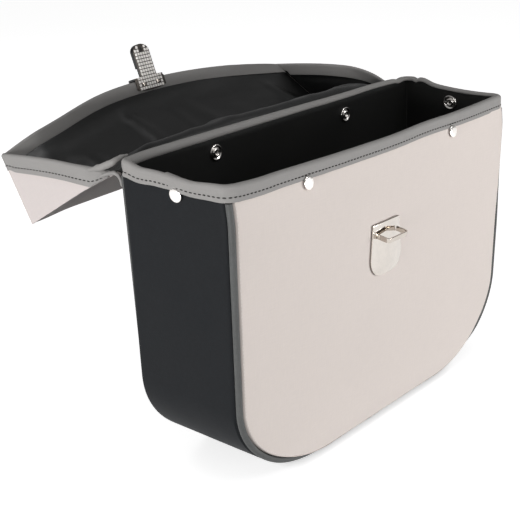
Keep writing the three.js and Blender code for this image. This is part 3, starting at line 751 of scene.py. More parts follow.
class Look(Enum):
    """A finish of the saddlebag's pieces."""

    CANVAS = WovenFinish("pale_canvas", (0.73, 0.66, 0.62), 0.85, 0.035, 0.3, 0.88, 0.05, 0.2)
    # Painted shade: a darker copy of the pale canvas for the lid and its wings, standing in for the shade
    # on the thrown-back lid.
    SHADED_LID_CANVAS = WovenFinish("lid_canvas_painted_shade", (0.61, 0.555, 0.54), 0.85, 0.035, 0.3, 0.88, 0.05, 0.2)
    LEATHERCLOTH = CoatedFinish("black_leathercloth", (0.0118, 0.0129, 0.0146), 0.9, 0.3, 0.6, 0.08)
    # Painted shade and light: one black lining cloth in two copies, darker on the lid and wings and lighter
    # inside the body where little lamp light reaches.
    LINING = WovenFinish("black_lining", (0.003, 0.0032, 0.0032), 0.7, 0.2, 0.25, 0.36, 0.0, 0.4)
    LIGHTENED_BODY_LINING = WovenFinish("body_lining_painted_light", (0.013, 0.0132, 0.0125), 0.7, 0.2, 0.3, 0.45, 0.03, 0.3)
    TAPE = WovenFinish("grey_tape", (0.285, 0.276, 0.268), 0.8, 0.05, 0.3, 0.6, 0.0, 0.25)
    PIPING = CoatedFinish("grey_piping", (0.085, 0.087, 0.086), 0.7, 0.25, 0.55, 0.2)
    THREAD = WovenFinish("dark_thread", (0.03, 0.028, 0.027), 0.35, 0.2, 0.5, 0.7, 0.0, 0.1)
    PALE_THREAD = WovenFinish("pale_thread", (0.8, 0.74, 0.71), 0.35, 0.05, 0.4, 0.8, 0.0, 0.2)
    # Painted reflection: the loop's and rivets' nickel is darkened to stand in for dark surroundings
    # mirrored in it.
    DARKENED_NICKEL = MetalFinish("polished_nickel_painted_dark_reflection", (0.56, 0.51, 0.46), 0.09, 0.04)
    # Painted reflection: the plate's nickel is dimmed so that its mirror image of the white floor comes out
    # at the canvas's tone.
    DIMMED_PLATE_NICKEL = MetalFinish("mirror_nickel_dimmed_reflection", (0.625, 0.583, 0.54), 0.07, 0.03)
    # Painted light: the studs' nickel is a brightened copy so that caps and sockets read bright.
    BRIGHTENED_STUD_NICKEL = MetalFinish("stud_nickel_painted_light", (0.88, 0.85, 0.82), 0.2, 0.06)
    # Painted shade: the clasp plate's metal between the pyramids is near black, standing in for the shade
    # in its grooves.
    SHADE_DARK_PLATE = MetalFinish("dark_grooves_painted_shade", (0.09, 0.08, 0.072), 0.5, 0.1)
    # Painted shade: dark metal for a strip along the keeper plate's edge, standing in for that edge in
    # shadow.
    SHADED_PLATE_EDGE = MetalFinish("plate_edge_painted_shade", (0.3, 0.26, 0.23), 0.4, 0.1)
    # Painted light: the pyramids take a brightened copy of the same metal.
    LIT_CHEQUER = MetalFinish("bright_chequer_painted_light", (0.88, 0.85, 0.82), 0.46, 0.06)
    PLASTIC = CoatedFinish("black_plastic", (0.02, 0.02, 0.021), 0.5, 0.12, 0.5, 0.4)


class Workshop:
    """Turns shells into pieces that ride on the frame."""

    def __init__(self) -> None:
        """Make the finishes that pieces are dressed with."""
        self.finishes = {look: look.value.build() for look in Look}

    def piece(
        self,
        name: str,
        shell: Shell,
        look: Look,
        slot: Optional[str] = None,
        stands_for: Sequence[str] = (),
    ) -> bpy.types.Object:
        """Make one piece.

        Args:
            name: Name of the piece.
            shell: Its closed skin in millimetres.
            look: Its finish.
            slot: Not used.
            stands_for: CAD nodes that it replaces.

        Returns:
            The new object.
        """
        mesh = bpy.data.meshes.new(name)
        mesh.from_pydata((shell.points * MM).tolist(), [], shell.faces)
        layer = mesh.uv_layers.new(name=CUT)
        corners = np.zeros(len(mesh.loops), np.int32)
        mesh.loops.foreach_get("vertex_index", corners)
        layer.data.foreach_set("uv", (shell.cut[corners] * MM).astype(np.float32).ravel())
        mesh.shade_smooth()
        mesh.set_sharp_from_angle(angle=math.radians(SHARP_DEG))
        mesh.materials.append(self.finishes[look])
        mesh.validate()
        made = bpy.data.objects.new(name, mesh)
        bpy.context.scene.collection.objects.link(made)
        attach(made, BODY)
        if stands_for:
            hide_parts(*stands_for)
        LOG.info("piece %s: %d faces", name, len(shell.faces))
        return made

    def sheet(
        self,
        name: str,
        shell: Shell,
        look: Look,
        slot: str,
        node: Optional[str],
        held: Hold = Hold.STRETCHED,
    ) -> bpy.types.Object:
        """Args:
            name: Name of the piece.
            shell: Its closed skin in millimetres.
            look: Its finish.
            slot: Name of the record's material slot for it, passed on to piece.
            node: CAD node that it replaces.
            held: Not used.

        Returns:
            The new object.
        """
        made = self.piece(name, shell, look, slot, [node] if node else [])
        width, length = np.ptp(shell.cut, axis=0) * MM
        area = min(shell.cut_area() * MM * MM / 2.0, width * length)
        size = (width / MM, length / MM, area * 1e4)
        LOG.info("cloth %s: cut %.0f by %.0f mm, %.0f square cm", name, *size)
        return made


@dataclass(frozen=True)
class RimRun:
    """How one side of the mouth's rim runs.

    Attributes:
        lifts: Height of its two ends above the bag's height.
        dip: How far it sags between them.
        legs: Length of the tape's outer leg at both ends.
        leg_extra: How much longer that leg is in the middle.
        inner_legs: Length of the tape's inner leg at both ends.
        waves: Share along the side, width and height of each local wave.
    """

    lifts: tuple[float, float]
    dip: float
    legs: tuple[float, float]
    leg_extra: float
    inner_legs: tuple[float, float]
    waves: tuple[tuple[float, float, float], ...]

    def lift(self, share: Array) -> Array:
        """Height of the rim above the bag's height, some share of the way along."""
        waves = sum(height * bell(middle, width, share) for middle, width, height in self.waves)
        return lerp(*self.lifts, share) - self.dip * sag(share) + waves

    def leg(self, share: float) -> float:
        """Length of the tape's outer leg, some share of the way along."""
        return lerp(*self.legs, share) + self.leg_extra * sag(share)


RIM = {
    Side.FRONT: RimRun(
        (-4.1, -3.0), 4.4, (14.4, 15.0), -1.7, (9.0, 3.6),
        ((0.06, 0.06, -0.9), (0.67, 0.1, 1.5)),
    ),
    Side.RIGHT: RimRun(
        (-3.0, 5.2), 3.0, (15.0, 14.0), 0.0, (3.6, 4.6),
        ((0.86, 0.09, 2.6), (0.95, 0.02, -1.6)),
    ),
    Side.BACK: RimRun(
        (5.2, 1.4), -1.2, (14.0, 15.0), 0.0, (4.6, 8.0),
        ((0.12, 0.1, 1.3), (0.025, 0.012, -1.4), (1.0, 0.03, -1.1)),
    ),
    Side.LEFT: RimRun(
        (1.4, -4.1), 3.4, (15.0, 14.4), -2.2, (8.0, 9.0),
        ((0.12, 0.14, -2.4), (0.74, 0.12, -0.9)),
    ),
}


@dataclass(frozen=True)
class BagForm:
    """Outline of the body in millimetres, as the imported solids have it."""

    height: float = 300.0
    half_top: float = 228.0
    half_low: float = 224.0
    corner_run: float = 130.0
    corner_rise: float = 93.0
    front_top: float = -60.75
    front_foot: float = -57.0
    back: float = 59.5
    crown: float = 2.0
    crown_top: float = 275.0
    wall: float = 2.5
    lining: float = 1.0
    gap: float = 0.3
    recess: float = 1.0
    piping: float = 3.0
    tape: float = 1.2
    tape_slack: float = 0.6
    tape_corner: float = 9.0
    tape_cover: float = 2.1
    tape_over_piping: float = 15.0
    lean: float = 9.2
    swell: float = 3.3
    foot_swell: float = 4.8
    swell_top: tuple[float, float] = (258.0, 296.0)

    @property
    def stack(self) -> float:
        """Thickness of a wall with its lining."""
        return self.wall + self.gap + self.lining

    @property
    def seam(self) -> float:
        """How far a wall is set in beside the piping."""
        return 2.0 * self.piping + self.gap

    def risen(self, height: Array) -> Array:
        """Share of the way from the round corner up to the rim."""
        return np.maximum(0.0, (np.asarray(height) - self.corner_rise) / (self.height - self.corner_rise))

    def half_width(self, height: Array) -> Array:
        """Half of the body's width at some height."""
        return lerp(self.half_low, self.half_top, self.risen(height))

    def front(self, height: Array) -> Array:
        """Place of the front seam at some height."""
        return lerp(self.front_foot, self.front_top, np.asarray(height) / self.height)

    def settled(self, shell: Shell) -> Shell:
        """Shell moved as the soft walls stand: the back leans out and the front swells below its tape.

        Args:
            shell: Shell of a piece of the body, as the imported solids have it.

        Returns:
            The moved shell.
        """
        points = shell.points.copy()
        height = points[:, 2]
        front = self.front(height)
        share = np.clip((points[:, 1] - front) / (self.back - front), 0.0, 1.0)
        rise = np.clip(height / self.height, 0.0, 1.02)
        swell = lerp(self.foot_swell, self.swell, rise) * (1.0 - smooth_step(*self.swell_top, height))
        points[:, 1] += self.lean * rise * share - swell * (1.0 - share)
        return Shell(points, shell.faces, shell.cut)

    def under_rim(self, height: Array, lift: Array) -> Array:
        """Height of a wall's point once its top edge follows the rim."""
        return height + (lift - self.tape_cover) * self.risen(height)

    def front_crown(self, across: Array, height: Array) -> Array:
        """How far the front swells out of its seam line."""
        rise = np.minimum(1.0, np.asarray(height) / self.crown_top)
        return self.crown * (1.0 - across**2) * np.sin(math.pi * rise) ** 2

    def half_outline(self, inset: float, side_steps: int, arc_steps: int) -> Four:
        """Stations down the right side and round its corner.

        Args:
            inset: Depth below the outline.
            side_steps: Steps down the straight side.
            arc_steps: Steps round the corner.

        Returns:
            The x and z of each station and of its outward direction.
        """
        height = lerp(self.height, self.corner_rise, np.arange(side_steps) / side_steps)
        angle = np.arange(arc_steps + 1) / arc_steps * math.pi / 2.0
        normal = unit(columns_of(np.cos(angle) / self.corner_run, -np.sin(angle) / self.corner_rise))
        arc_x = self.half_low - self.corner_run * (1.0 - np.cos(angle)) - inset * normal[:, 0]
        arc_z = self.corner_rise * (1.0 - np.sin(angle)) - inset * normal[:, 1]
        out_x = np.concatenate([np.ones(side_steps), normal[:, 0]])
        out_z = np.concatenate([np.zeros(side_steps), normal[:, 1]])
        x = np.concatenate([self.half_width(height) - inset, arc_x])
        return x, np.concatenate([height, arc_z]), out_x, out_z

    def outline(self, inset: float, side_steps: int, arc_steps: int, foot_steps: int) -> Array:
        """Whole outline from the right rim under the foot to the left rim.

        Args:
            inset: Depth below the outline.
            side_steps: Steps down each straight side.
            arc_steps: Steps round each corner.
            foot_steps: Steps along the foot.

        Returns:
            Rows of x, z, outward x, outward z and 0 on the right or 1 on the left.
        """
        x, z, out_x, out_z = self.half_outline(inset, side_steps, arc_steps)
        right = columns_of(x, z, out_x, out_z, np.zeros_like(x))
        share = np.arange(1, foot_steps) / foot_steps
        foot = columns_of(
            lerp(x[-1], -x[-1], share),
            np.full_like(share, z[-1]),
            np.zeros_like(share),
            -np.ones_like(share),
            np.zeros_like(share),
        )
        left = right[::-1] * np.array([-1.0, 1.0, -1.0, 1.0, 1.0]) + np.array([0.0, 0.0, 0.0, 0.0, 1.0])
        return np.concatenate([right, foot, left])

    def mouth_point(self, side: Side, share: float, turn: float, across: Array, height: Array) -> Array:
        """Places on the mouth's loop.

        Args:
            side: Side of the mouth.
            share: Share of the way along that side.
            turn: Degrees turned round the corner after it.
            across: Distance out from the middle of the walls.
            height: Height of each place.

        Returns:
            One place for each pair of across and height.
        """
        x = self.half_width(height) - self.stack / 2.0
        front = self.front(height) + self.recess + self.stack / 2.0
        back = np.full_like(x, self.back - self.recess - self.stack / 2.0)
        bend = self.tape_corner
        ends = {
            Side.FRONT: ((-x + bend, front), (x - bend, front)),
            Side.RIGHT: ((x, front + bend), (x, back - bend)),
            Side.BACK: ((x - bend, back), (-x + bend, back)),
            Side.LEFT: ((-x, back - bend), (-x, front + bend)),
        }
        start, end = ends[side]
        facing = math.radians(side.value)
        rounded = math.radians(side.value + turn)
        place_x = lerp(start[0], end[0], share) - bend * math.cos(facing)
        place_y = lerp(start[1], end[1], share) - bend * math.sin(facing)
        place_x = place_x + (bend + across) * math.cos(rounded)
        place_y = place_y + (bend + across) * math.sin(rounded)
        return columns_of(place_x, place_y, height)


@dataclass(frozen=True)
class StudPlace:
    """One press stud: its name, the side that it is in, its place and whether it shows a cap outside."""

    name: str
    side: Side
    along: float
    height: float
    cap: bool


STUDS = (
    StudPlace("press_stud_front_left", Side.FRONT, -125.5, 276.5, True),
    StudPlace("press_stud_front_right", Side.FRONT, 117.0, 276.5, True),
    StudPlace("press_stud_back_left", Side.BACK, -108.0, 282.0, False),
    StudPlace("press_stud_back_right", Side.BACK, 101.0, 282.0, False),
    StudPlace("press_stud_gusset_left", Side.LEFT, -6.0, 279.5, True),
    StudPlace("press_stud_gusset_right", Side.RIGHT, 0.5, 281.0, True),
)


@dataclass
class Body:
    """Panels, gusset, linings and pipings of the body."""

    shop: Workshop
    form: BagForm
    side_steps: int = 56
    arc_steps: int = 56
    panel_columns: int = 128
    gusset_columns: int = 26
    foot_steps: int = 40
    piping_sides: int = 20
    piping_flat: float = 0.68
    piping_tuck: tuple[float, float] = (1.4, 4.4)
    piping_sunk: float = 1.6
    gusset_lap: float = 5.2
    edge_turn: float = 2.6
    edge_depth: float = 1.7
    border_swell: tuple[float, float, float] = (1.3, 1.3, 1.9)
    lining_inset: float = 4.4
    lining_seam: float = 4.95
    crown_half: float = 222.0
    edge_stitch: float = 2.4
    edge_sunk: float = 0.3
    edge_below: float = 22.0
    edge_pitch: float = 3.4
    edge_length: float = 1.9
    edge_thread: float = 0.5

    def build(self) -> None:
        """Make every piece of the body."""
        self.panels()
        self.gussets()
        self.pipings()
        self.edge_stitches()

    def panel(self, side: Side, near: float, far: float, inset: float, swell: float, seed: float) -> Shell:
        """Sheet that fills the outline from rim to foot.

        Args:
            side: Front or back.
            near: Depth of its outer face behind the seam line.
            far: Depth of its inner face.
            inset: How far its edge is set in from the outline.
            swell: How far the cloth stands off unevenly, towards the outer face.
            seed: Number that picks the pattern of the swells.

        Returns:
            The closed skin of the sheet.
        """
        form = self.form
        x, z, _, _ = form.half_outline(inset, self.side_steps, self.arc_steps)
        even = np.linspace(-1.0, 1.0, self.panel_columns + 1)
        across = np.sin(even * math.pi / 2.0) * 0.8 + even * 0.2
        grid_x = across[None, :] * x[:, None]
        grid_z = np.broadcast_to(z[:, None], grid_x.shape)
        is_front = side is Side.FRONT
        share = (across + 1.0) / 2.0 if is_front else (1.0 - across) / 2.0
        height = form.under_rim(grid_z, RIM[side].lift(share)[None, :])
        places = columns_of(grid_x, np.zeros_like(grid_x), height)
        edge = np.concatenate([columns_of(x, z), columns_of(-x, z)])
        foot = columns_of(np.linspace(-x[-1], x[-1], 60), np.full(60, z[-1]))
        border = np.concatenate([edge, foot])
        flat = columns_of(grid_x, grid_z).reshape(-1, 2)
        away = np.array([np.min(np.hypot(*(border - spot).T)) for spot in flat]).reshape(grid_x.shape)
        turned = self.edge_depth * (1.0 - smooth_step(0.0, self.edge_turn, away)) ** 2
        wave = soft_noise(places, 95.0, seed) * 0.6 + soft_noise(places, 34.0, seed + 7.0) * 0.25
        wave = wave * swell * smooth_step(0.0, 26.0, away)
        pucker = 0.16 * np.sin((grid_x + grid_z) / 3.4) * bell(5.5, 3.5, away)
        if is_front and swell:
            wave = wave + self.border(grid_x, height, away)
        faces = []
        for depth, turn in ((near, 1.0), (far, 0.25)):
            into = depth + turned * turn + pucker * swell - wave
            if is_front:
                y = form.front(grid_z) + into - form.front_crown(across[None, :], grid_z)
            else:
                y = form.back - into
            faces.append(columns_of(grid_x, y, height))
        cut = columns_of(grid_x, height)
        return sheet_shell(faces[0], faces[1], cut, hem=0.2)

    def border(self, x: Array, height: Array, away: Array) -> Array:
        """How far the front's padding stands out beside its right and lower seam.

        Args:
            x: Width of each place.
            height: Height of each place.
            away: Distance of each place from the seam.

        Returns:
            The distance for each place.
        """
        even, upper, lower = self.border_swell
        right = smooth_step(-230.0, -110.0, x) * (1.0 - smooth_step(276.0, 296.0, height))
        swell = even + upper * smooth_step(150.0, 230.0, height)
        swell = swell + lower * (1.0 - smooth_step(4.0, 46.0, height))
        return swell * right * (1.0 - smooth_step(8.0, 70.0, away))

    def panels(self) -> None:
        """Make the front and back panels and their linings."""
        form = self.form
        back = form.recess + form.wall
        inner = back + form.gap
        front = form.settled(self.panel(Side.FRONT, form.recess, back, form.seam, 0.35, 3.0))
        self.shop.sheet("front_panel_cloth", front, Look.CANVAS, "pale_cloth", "front_panel")
        rear = form.settled(self.panel(Side.BACK, form.recess, back, form.seam, 0.35, 11.0))
        self.shop.sheet("back_panel_cloth", rear, Look.LEATHERCLOTH, "black_leathercloth", "back_panel")
        for side, node, seed in ((Side.FRONT, "front_lining", 19.0), (Side.BACK, "back_lining", 29.0)):
            shell = self.panel(side, inner, inner + form.lining, self.lining_inset, 0.0, seed)
            # The body's linings take the lighter painted-light copy of the lining cloth.
            self.shop.sheet(node + "_cloth", form.settled(shell), Look.LIGHTENED_BODY_LINING, "black_lining", node)

    def edge_stitches(self) -> None:
        """Sew the pale row of small stitches beside the front's piping."""
        form = self.form
        rows = form.outline(form.seam + self.edge_stitch, 160, 90, 120)
        x, z = rows[:, 0], rows[:, 1]
        share = np.where(x < 0.0, 0.0, 1.0)
        height = form.under_rim(z, RIM[Side.FRONT].lift(share))
        out = form.recess - self.border(x, height, np.full_like(x, self.edge_stitch))
        y = form.front(z) + out + self.edge_sunk - form.front_crown(x / self.crown_half, z)
        line = columns_of(x, y, height)[height < form.height - self.edge_below]
        outs = np.broadcast_to(np.array([0.0, -1.0, 0.0]), line.shape)
        places, alongs, off = spaced_stitches(line, outs, self.edge_pitch, loop=False)
        shell = stitch_shell(places, alongs, off, self.edge_length, self.edge_thread)
        self.shop.piece("front_panel_stitches", form.settled(shell), Look.PALE_THREAD, "pale_cloth")

    def band(self, near: float, far: float, seam: float, turn: float, lap: float) -> Shell:
        """Band of the gusset between two depths.

        Args:
            near: Depth of its outer face below the outline.
            far: Depth of its inner face.
            seam: How far its edges are set in from the seams.
            turn: How deep its edges turn in.
            lap: How far its back edge laps over the piping at the foot.

        Returns:
            The closed skin of the band.
        """
        form = self.form
        across = np.linspace(0.0, 1.0, self.gusset_columns + 1)
        across = lerp(across, 0.5 - 0.5 * np.cos(across * math.pi), 0.6)[None, :]
        faces = []
        for inset in (near, far):
            rows = form.outline(inset, self.side_steps, self.arc_steps, self.foot_steps)
            x, z, out_x, out_z, left = (rows[:, i][:, None] for i in range(5))
            start = form.front(z) + seam
            end = form.back - seam + lap * (1.0 - 0.45 * smooth_step(80.0, 230.0, z))
            y = lerp(start, end, across)
            edge = np.minimum(across, 1.0 - across) * (end - start)
            lift = np.where(left > 0.5, RIM[Side.LEFT].lift(1.0 - across), RIM[Side.RIGHT].lift(across))
            height = form.under_rim(np.broadcast_to(z, y.shape), lift)
            deep = turn * (1.0 - smooth_step(0.0, self.edge_turn, edge)) ** 2
            places = columns_of(np.broadcast_to(x, y.shape), y, height)
            free = smooth_step(0.0, 22.0, edge) * smooth_step(4.0, 40.0, height)
            give = 0.4 * soft_noise(places, 70.0, 41.0) * free
            push = give - deep
            faces.append(places + push[..., None] * columns_of(out_x, y * 0.0, out_z))
        walked = along_lengths(faces[0][:, self.gusset_columns // 2])
        cut = columns_of(faces[0][..., 1], walked[:, None])
        return sheet_shell(faces[0], faces[1], cut, hem=0.2)

    def gussets(self) -> None:
        """Make the gusset and its lining."""
        form = self.form
        outer = form.settled(self.band(0.0, form.wall, form.seam, self.edge_depth, self.gusset_lap))
        self.shop.sheet("gusset_cloth", outer, Look.LEATHERCLOTH, "black_leathercloth", "gusset")
        inner = form.settled(self.band(form.wall + form.gap, form.stack, self.lining_seam, 0.0, 0.0))
        self.shop.sheet("gusset_lining_cloth", inner, Look.LIGHTENED_BODY_LINING, "black_lining", "gusset_lining")

    def pipings(self) -> None:
        """Make the two round cords in the seams."""
        form = self.form
        angles = round_angles(self.piping_sides)
        cover = form.tape_over_piping
        for side, node in ((Side.FRONT, "piping_front"), (Side.BACK, "piping_back")):
            is_front = side is Side.FRONT
            inset = form.piping if is_front else form.piping + self.piping_sunk
            rows = form.outline(inset, self.side_steps, self.arc_steps, self.foot_steps)
            x, z, out_x, out_z, left = rows.T
            y = form.front(z) + form.piping if is_front else np.full_like(z, form.back - form.piping)
            ends = (0.0, 1.0) if is_front else (1.0, 0.0)
            lifts = np.where(left > 0.5, RIM[Side.LEFT].lift(ends[1]), RIM[Side.RIGHT].lift(ends[0]))
            height = z + (lifts - cover) * form.risen(z)
            swing = angles if is_front else -angles
            inside = 1.0 if is_front else -1.0
            facing_in = np.maximum(0.0, (inside * np.sin(swing) - np.cos(swing)) / math.sqrt(2.0))
            radius = form.piping * (1.0 - self.piping_flat * facing_in**2)
            reach = (radius * np.cos(swing))[None, :]
            tucked = self.piping_tuck[0] * (x > 0.0) * smooth_step(150.0, 230.0, z) * is_front
            under = smooth_step(-185.0, -85.0, x) * (1.0 - smooth_step(8.0, 40.0, z)) * is_front
            height = height + self.piping_tuck[1] * under
            rings = columns_of(
                x[:, None] + out_x[:, None] * reach,
                (y + tucked)[:, None] + (radius * np.sin(swing))[None, :],
                height[:, None] + out_z[:, None] * reach,
            )
            shell = form.settled(tube_shell(rings))
            self.shop.piece(node + "_cord", shell, Look.PIPING, "grey_piping", [node])


@dataclass
class TapeCut:
    """Section of a tape folded over an edge, as two lines from its outer to its inner leg.

    Attributes:
        stack: Thickness of the cloth in it.
        tape: Thickness of the tape.
        slack: Room between the tape and the cloth.
        shoulder: Height of the rounded top.
        line: Distance of the stitch line below the top.
        inner_shoulder: Height of the rounded top on the inner side.
    """

    stack: float
    tape: float
    slack: float
    shoulder: float
    line: float
    inner_shoulder: float
    leg_steps: int = 9
    top_steps: int = 12

    @property
    def half(self) -> float:
        """Half of the tape's width."""
        return self.stack / 2.0 + self.slack + self.tape

    def lines(self, outer_leg: float, inner_leg: float) -> tuple[Array, Array]:
        """Outer and inner face of the tape.

        Args:
            outer_leg: Length of the outer leg.
            inner_leg: Length of the inner leg.

        Returns:
            Two lines of distances across and down.
        """
        made = []
        for skin, top in ((0.0, 0.0), (self.tape, self.tape + 0.3)):
            wide = self.half - skin
            down = lerp(outer_leg, self.shoulder, np.arange(self.leg_steps) / self.leg_steps)
            pinch = 0.3 * bell(self.line, 1.6, down) * (1.0 if skin == 0.0 else 0.3)
            outer = columns_of(wide - pinch, down)
            angle = np.arange(self.top_steps + 1) / self.top_steps * math.pi
            base = np.where(angle <= math.pi / 2.0, self.shoulder, self.inner_shoulder)
            tall = np.maximum(base - top, 0.2)
            over = columns_of(wide * np.cos(angle), base - tall * np.sin(angle))
            share = np.arange(1, self.leg_steps + 1) / self.leg_steps
            inner_down = lerp(self.inner_shoulder, inner_leg, share)
            tuck = 0.9 * share**2 * (1.0 if skin == 0.0 else 0.6)
            inner = columns_of(tuck - wide, inner_down)
            made.append(np.concatenate([outer, over, inner]))
        return made[0], made[1]


@dataclass
class MouthBinding:
    """Grey tape folded over the rim of the mouth, with its lapped end and its stitching."""

    shop: Workshop
    form: BagForm
    step: float = 1.8
    corner_steps: int = 12
    front_length: float = 456.0
    gusset_length: float = 112.0
    line_share: float = 0.72
    pitch: float = 4.8
    stitch: float = 3.1
    thread: float = 0.58
    dimple: float = 0.9
    shoulder: float = 3.4
    lap_share: float = 0.44
    lap_length: float = 26.0
    lap_thick: float = 1.1

    def section(self, side: Side, share: float, extra: float) -> tuple[TapeCut, float, float]:
        """Section of the tape at one place.

        Args:
            side: Side of the mouth.
            share: Share of the way along it.
            extra: How much the section stands off the tape.

        Returns:
            The section and the lengths of its outer and inner leg.
        """
        form, run = self.form, RIM[side]
        leg, inner = run.leg(share), lerp(*run.inner_legs, share)
        slack = form.tape_slack + extra
        line, inner_shoulder = leg * self.line_share, min(4.6, inner * 0.75)
        made = TapeCut(form.stack, form.tape, slack, self.shoulder, line, inner_shoulder)
        return made, leg, inner

    def build(self) -> None:
        """Make the tape, its lapped end and its stitches."""
        form = self.form
        near, far, line, outs = [], [], [], []
        for side, share, turn in self.stations():
            section, leg, inner_leg = self.section(side, share, 0.0)
            top = form.height + RIM[side].lift(share)
            outer, inner = section.lines(leg, inner_leg)
            self.press(side, share, top, outer)
            near.append(form.mouth_point(side, share, turn, outer[:, 0], top - outer[:, 1]))
            far.append(form.mouth_point(side, share, turn, inner[:, 0], top - inner[:, 1]))
            facing = math.radians(side.value + turn)
            outs.append([math.cos(facing), math.sin(facing), 0.0])
            spot = np.array([section.half - 0.2]), np.array([top - section.line])
            line.append(form.mouth_point(side, share, turn, *spot)[0])
        near, far, outs = np.array(near), np.array(far), np.array(outs)
        shift = self.waves(near)[..., None] * outs[:, None, :]
        walked = along_lengths(near[:, 0])
        cut = columns_of(along_lengths(near[0])[None, :], walked[:, None])
        shell = form.settled(sheet_shell(near + shift, far + shift, cut, loop=True, hem=0.3))
        self.shop.sheet("mouth_binding_tape", shell, Look.TAPE, "grey_tape", "mouth_binding")
        self.lap()
        seam = np.array(line)
        places, alongs, off = spaced_stitches(seam, outs, self.pitch, loop=True)
        places = places + 0.14 * soft_noise(places, 2.0, 5.0)[:, None] * np.array([0.0, 0.0, 1.0])
        places = places + self.waves(places)[:, None] * off
        shell = form.settled(stitch_shell(places, alongs, off, self.stitch, self.thread))
        self.shop.piece("mouth_binding_stitches", shell, Look.THREAD, "grey_tape")

    def waves(self, places: Array) -> Array:
        """How far the tape stands off unevenly at some places."""
        return 0.28 * soft_noise(places, 22.0, 61.0) + 0.16 * soft_noise(places, 7.0, 67.0)

    def lap(self) -> None:
        """Make the end of the tape that laps over its start on the left gusset."""
        form = self.form
        near, far = [], []
        for step in np.linspace(0.0, self.lap_length, 22):
            share = self.lap_share + step / self.gusset_length
            stand = lerp(self.lap_thick, -0.5, step / self.lap_length)
            for target, extra in ((near, stand), (far, -0.6)):
                section, leg, inner = self.section(Side.LEFT, share, extra)
                line = section.lines(leg, inner)[0]
                target.append([self.lap_point(share, extra, *spot) for spot in line])
        near, far = np.array(near), np.array(far)
        out = np.array([-1.0, 0.0, 0.0])
        shift = self.waves(near)[..., None] * out
        cut = columns_of(along_lengths(near[0])[None, :], along_lengths(near[:, 0])[:, None])
        shell = form.settled(sheet_shell(near + shift, far + shift, cut, hem=0.1))
        self.shop.sheet("mouth_binding_lap", shell, Look.TAPE, "grey_tape", None)

    def lap_point(self, share: float, extra: float, across: float, down: float) -> Array:
        """Place on the lapped end, whose cut edge curves back down its outer leg.

        Args:
            share: Share of the way along the left gusset.
            extra: How much it stands off the tape.
            across: Distance out from the middle of the walls.
            down: Distance below the rim.

        Returns:
            The place.
        """
        form = self.form
        curve = 6.5 * float(smooth_step(0.0, 13.0, down)) if across > 0.0 else 0.0
        share = share + curve / self.gusset_length
        top = form.height + RIM[Side.LEFT].lift(share) + extra
        return form.mouth_point(Side.LEFT, share, 0.0, np.array([across]), np.array([top - down]))[0]

    def stations(self) -> list[tuple[Side, float, float]]:
        """Stations round the mouth.

        Returns:
            The side, the share along it and the turn of each station.
        """
        made = []
        for side, length in zip(Side, (self.front_length, self.gusset_length) * 2):
            steps = int(length / self.step)
            made += [(side, step / steps, 0.0) for step in range(steps + 1)]
            made += [(side, 1.0, 90.0 * step / self.corner_steps) for step in range(1, self.corner_steps)]
        return made

    def press(self, side: Side, share: float, top: float, outer: Array) -> None:
        """Press the tape in round the studs.

        Args:
            side: Side of the mouth.
            share: Share of the way along it.
            top: Height of the rim there.
            outer: Line of the tape's outer face, changed in place.
        """
        place = self.form.mouth_point(side, share, 0.0, np.zeros(1), np.array([top]))[0]
        for stud in STUDS:
            if stud.side is not side:
                continue
            along = place[0] if side in (Side.FRONT, Side.BACK) else place[1]
            away = np.hypot(along - stud.along, top - outer[:, 1] - stud.height)
            outer[:, 0] -= np.sign(outer[:, 0]) * self.dimple * (1.0 - smooth_step(5.0, 13.0, away))


@dataclass
class PressStuds:
    """Press studs through the rim: caps outside and sockets inside."""

    shop: Workshop
    form: BagForm
    sides: int = 40
    stand_off: float = 1.3

    def build(self) -> None:
        """Make every stud."""
        for stud in STUDS:
            shell = turned_shell(self.profile(stud.cap), self.sides).moved(self.frame(stud))
            settled = self.form.settled(shell)
            # The studs take the brightened painted-light copy of the nickel.
            self.shop.piece(stud.name + "_turned", settled, Look.BRIGHTENED_STUD_NICKEL, "nickel", [stud.name])

    def profile(self, cap: bool) -> list[tuple[float, float]]:
        """Outline of a stud from its socket to its cap.

        Args:
            cap: Whether it has a cap outside.

        Returns:
            Radius and height of each corner.
        """
        inside = -self.form.stack - self.form.gap
        socket = [
            (0.0, 0.3), (1.5, 0.3), (1.8, 0.6), (2.0, 1.2), (2.5, 1.7), (3.2, 1.85),
            (3.9, 1.65), (4.3, 1.1), (4.6, 0.55), (5.3, 0.4), (5.9, 0.7), (6.5, 1.2),
            (7.2, 1.35), (7.8, 1.1), (8.1, 0.6), (8.0, 0.0),
        ]
        outside = [
            (6.0, 0.0), (6.3, 0.25), (6.3, 0.8), (6.1, 1.2), (5.7, 1.45), (5.0, 1.6), (3.2, 1.74),
            (1.6, 1.8), (0.0, 1.82),
        ]
        plain = [(4.8, 0.0), (5.0, 0.2), (5.0, 0.6), (4.7, 0.8), (2.0, 0.85), (0.0, 0.86)]
        off = self.stand_off if cap else self.form.gap
        made = [(radius, inside - height) for radius, height in socket]
        made += [(2.5, inside), (2.5, off)]
        return made + [(radius, off + height) for radius, height in (outside if cap else plain)]

    def frame(self, stud: StudPlace) -> Array:
        """Frame of a stud, with Z outwards through the wall.

        Args:
            stud: The stud.

        Returns:
            A 4 by 4 matrix in millimetres.
        """
        form = self.form
        half = float(form.half_width(stud.height))
        walls = {
            Side.FRONT: (stud.along, float(form.front(stud.height)) + form.recess),
            Side.BACK: (stud.along, form.back - form.recess),
            Side.LEFT: (-half, stud.along),
            Side.RIGHT: (half, stud.along),
        }
        x, y = walls[stud.side]
        facing = math.radians(stud.side.value)
        turn = Matrix.Rotation(facing, 4, "Z") @ Matrix.Rotation(math.pi / 2.0, 4, "Y")
        made = np.array(turn)
        made[:3, 3] = (x, y, stud.height)
        return made


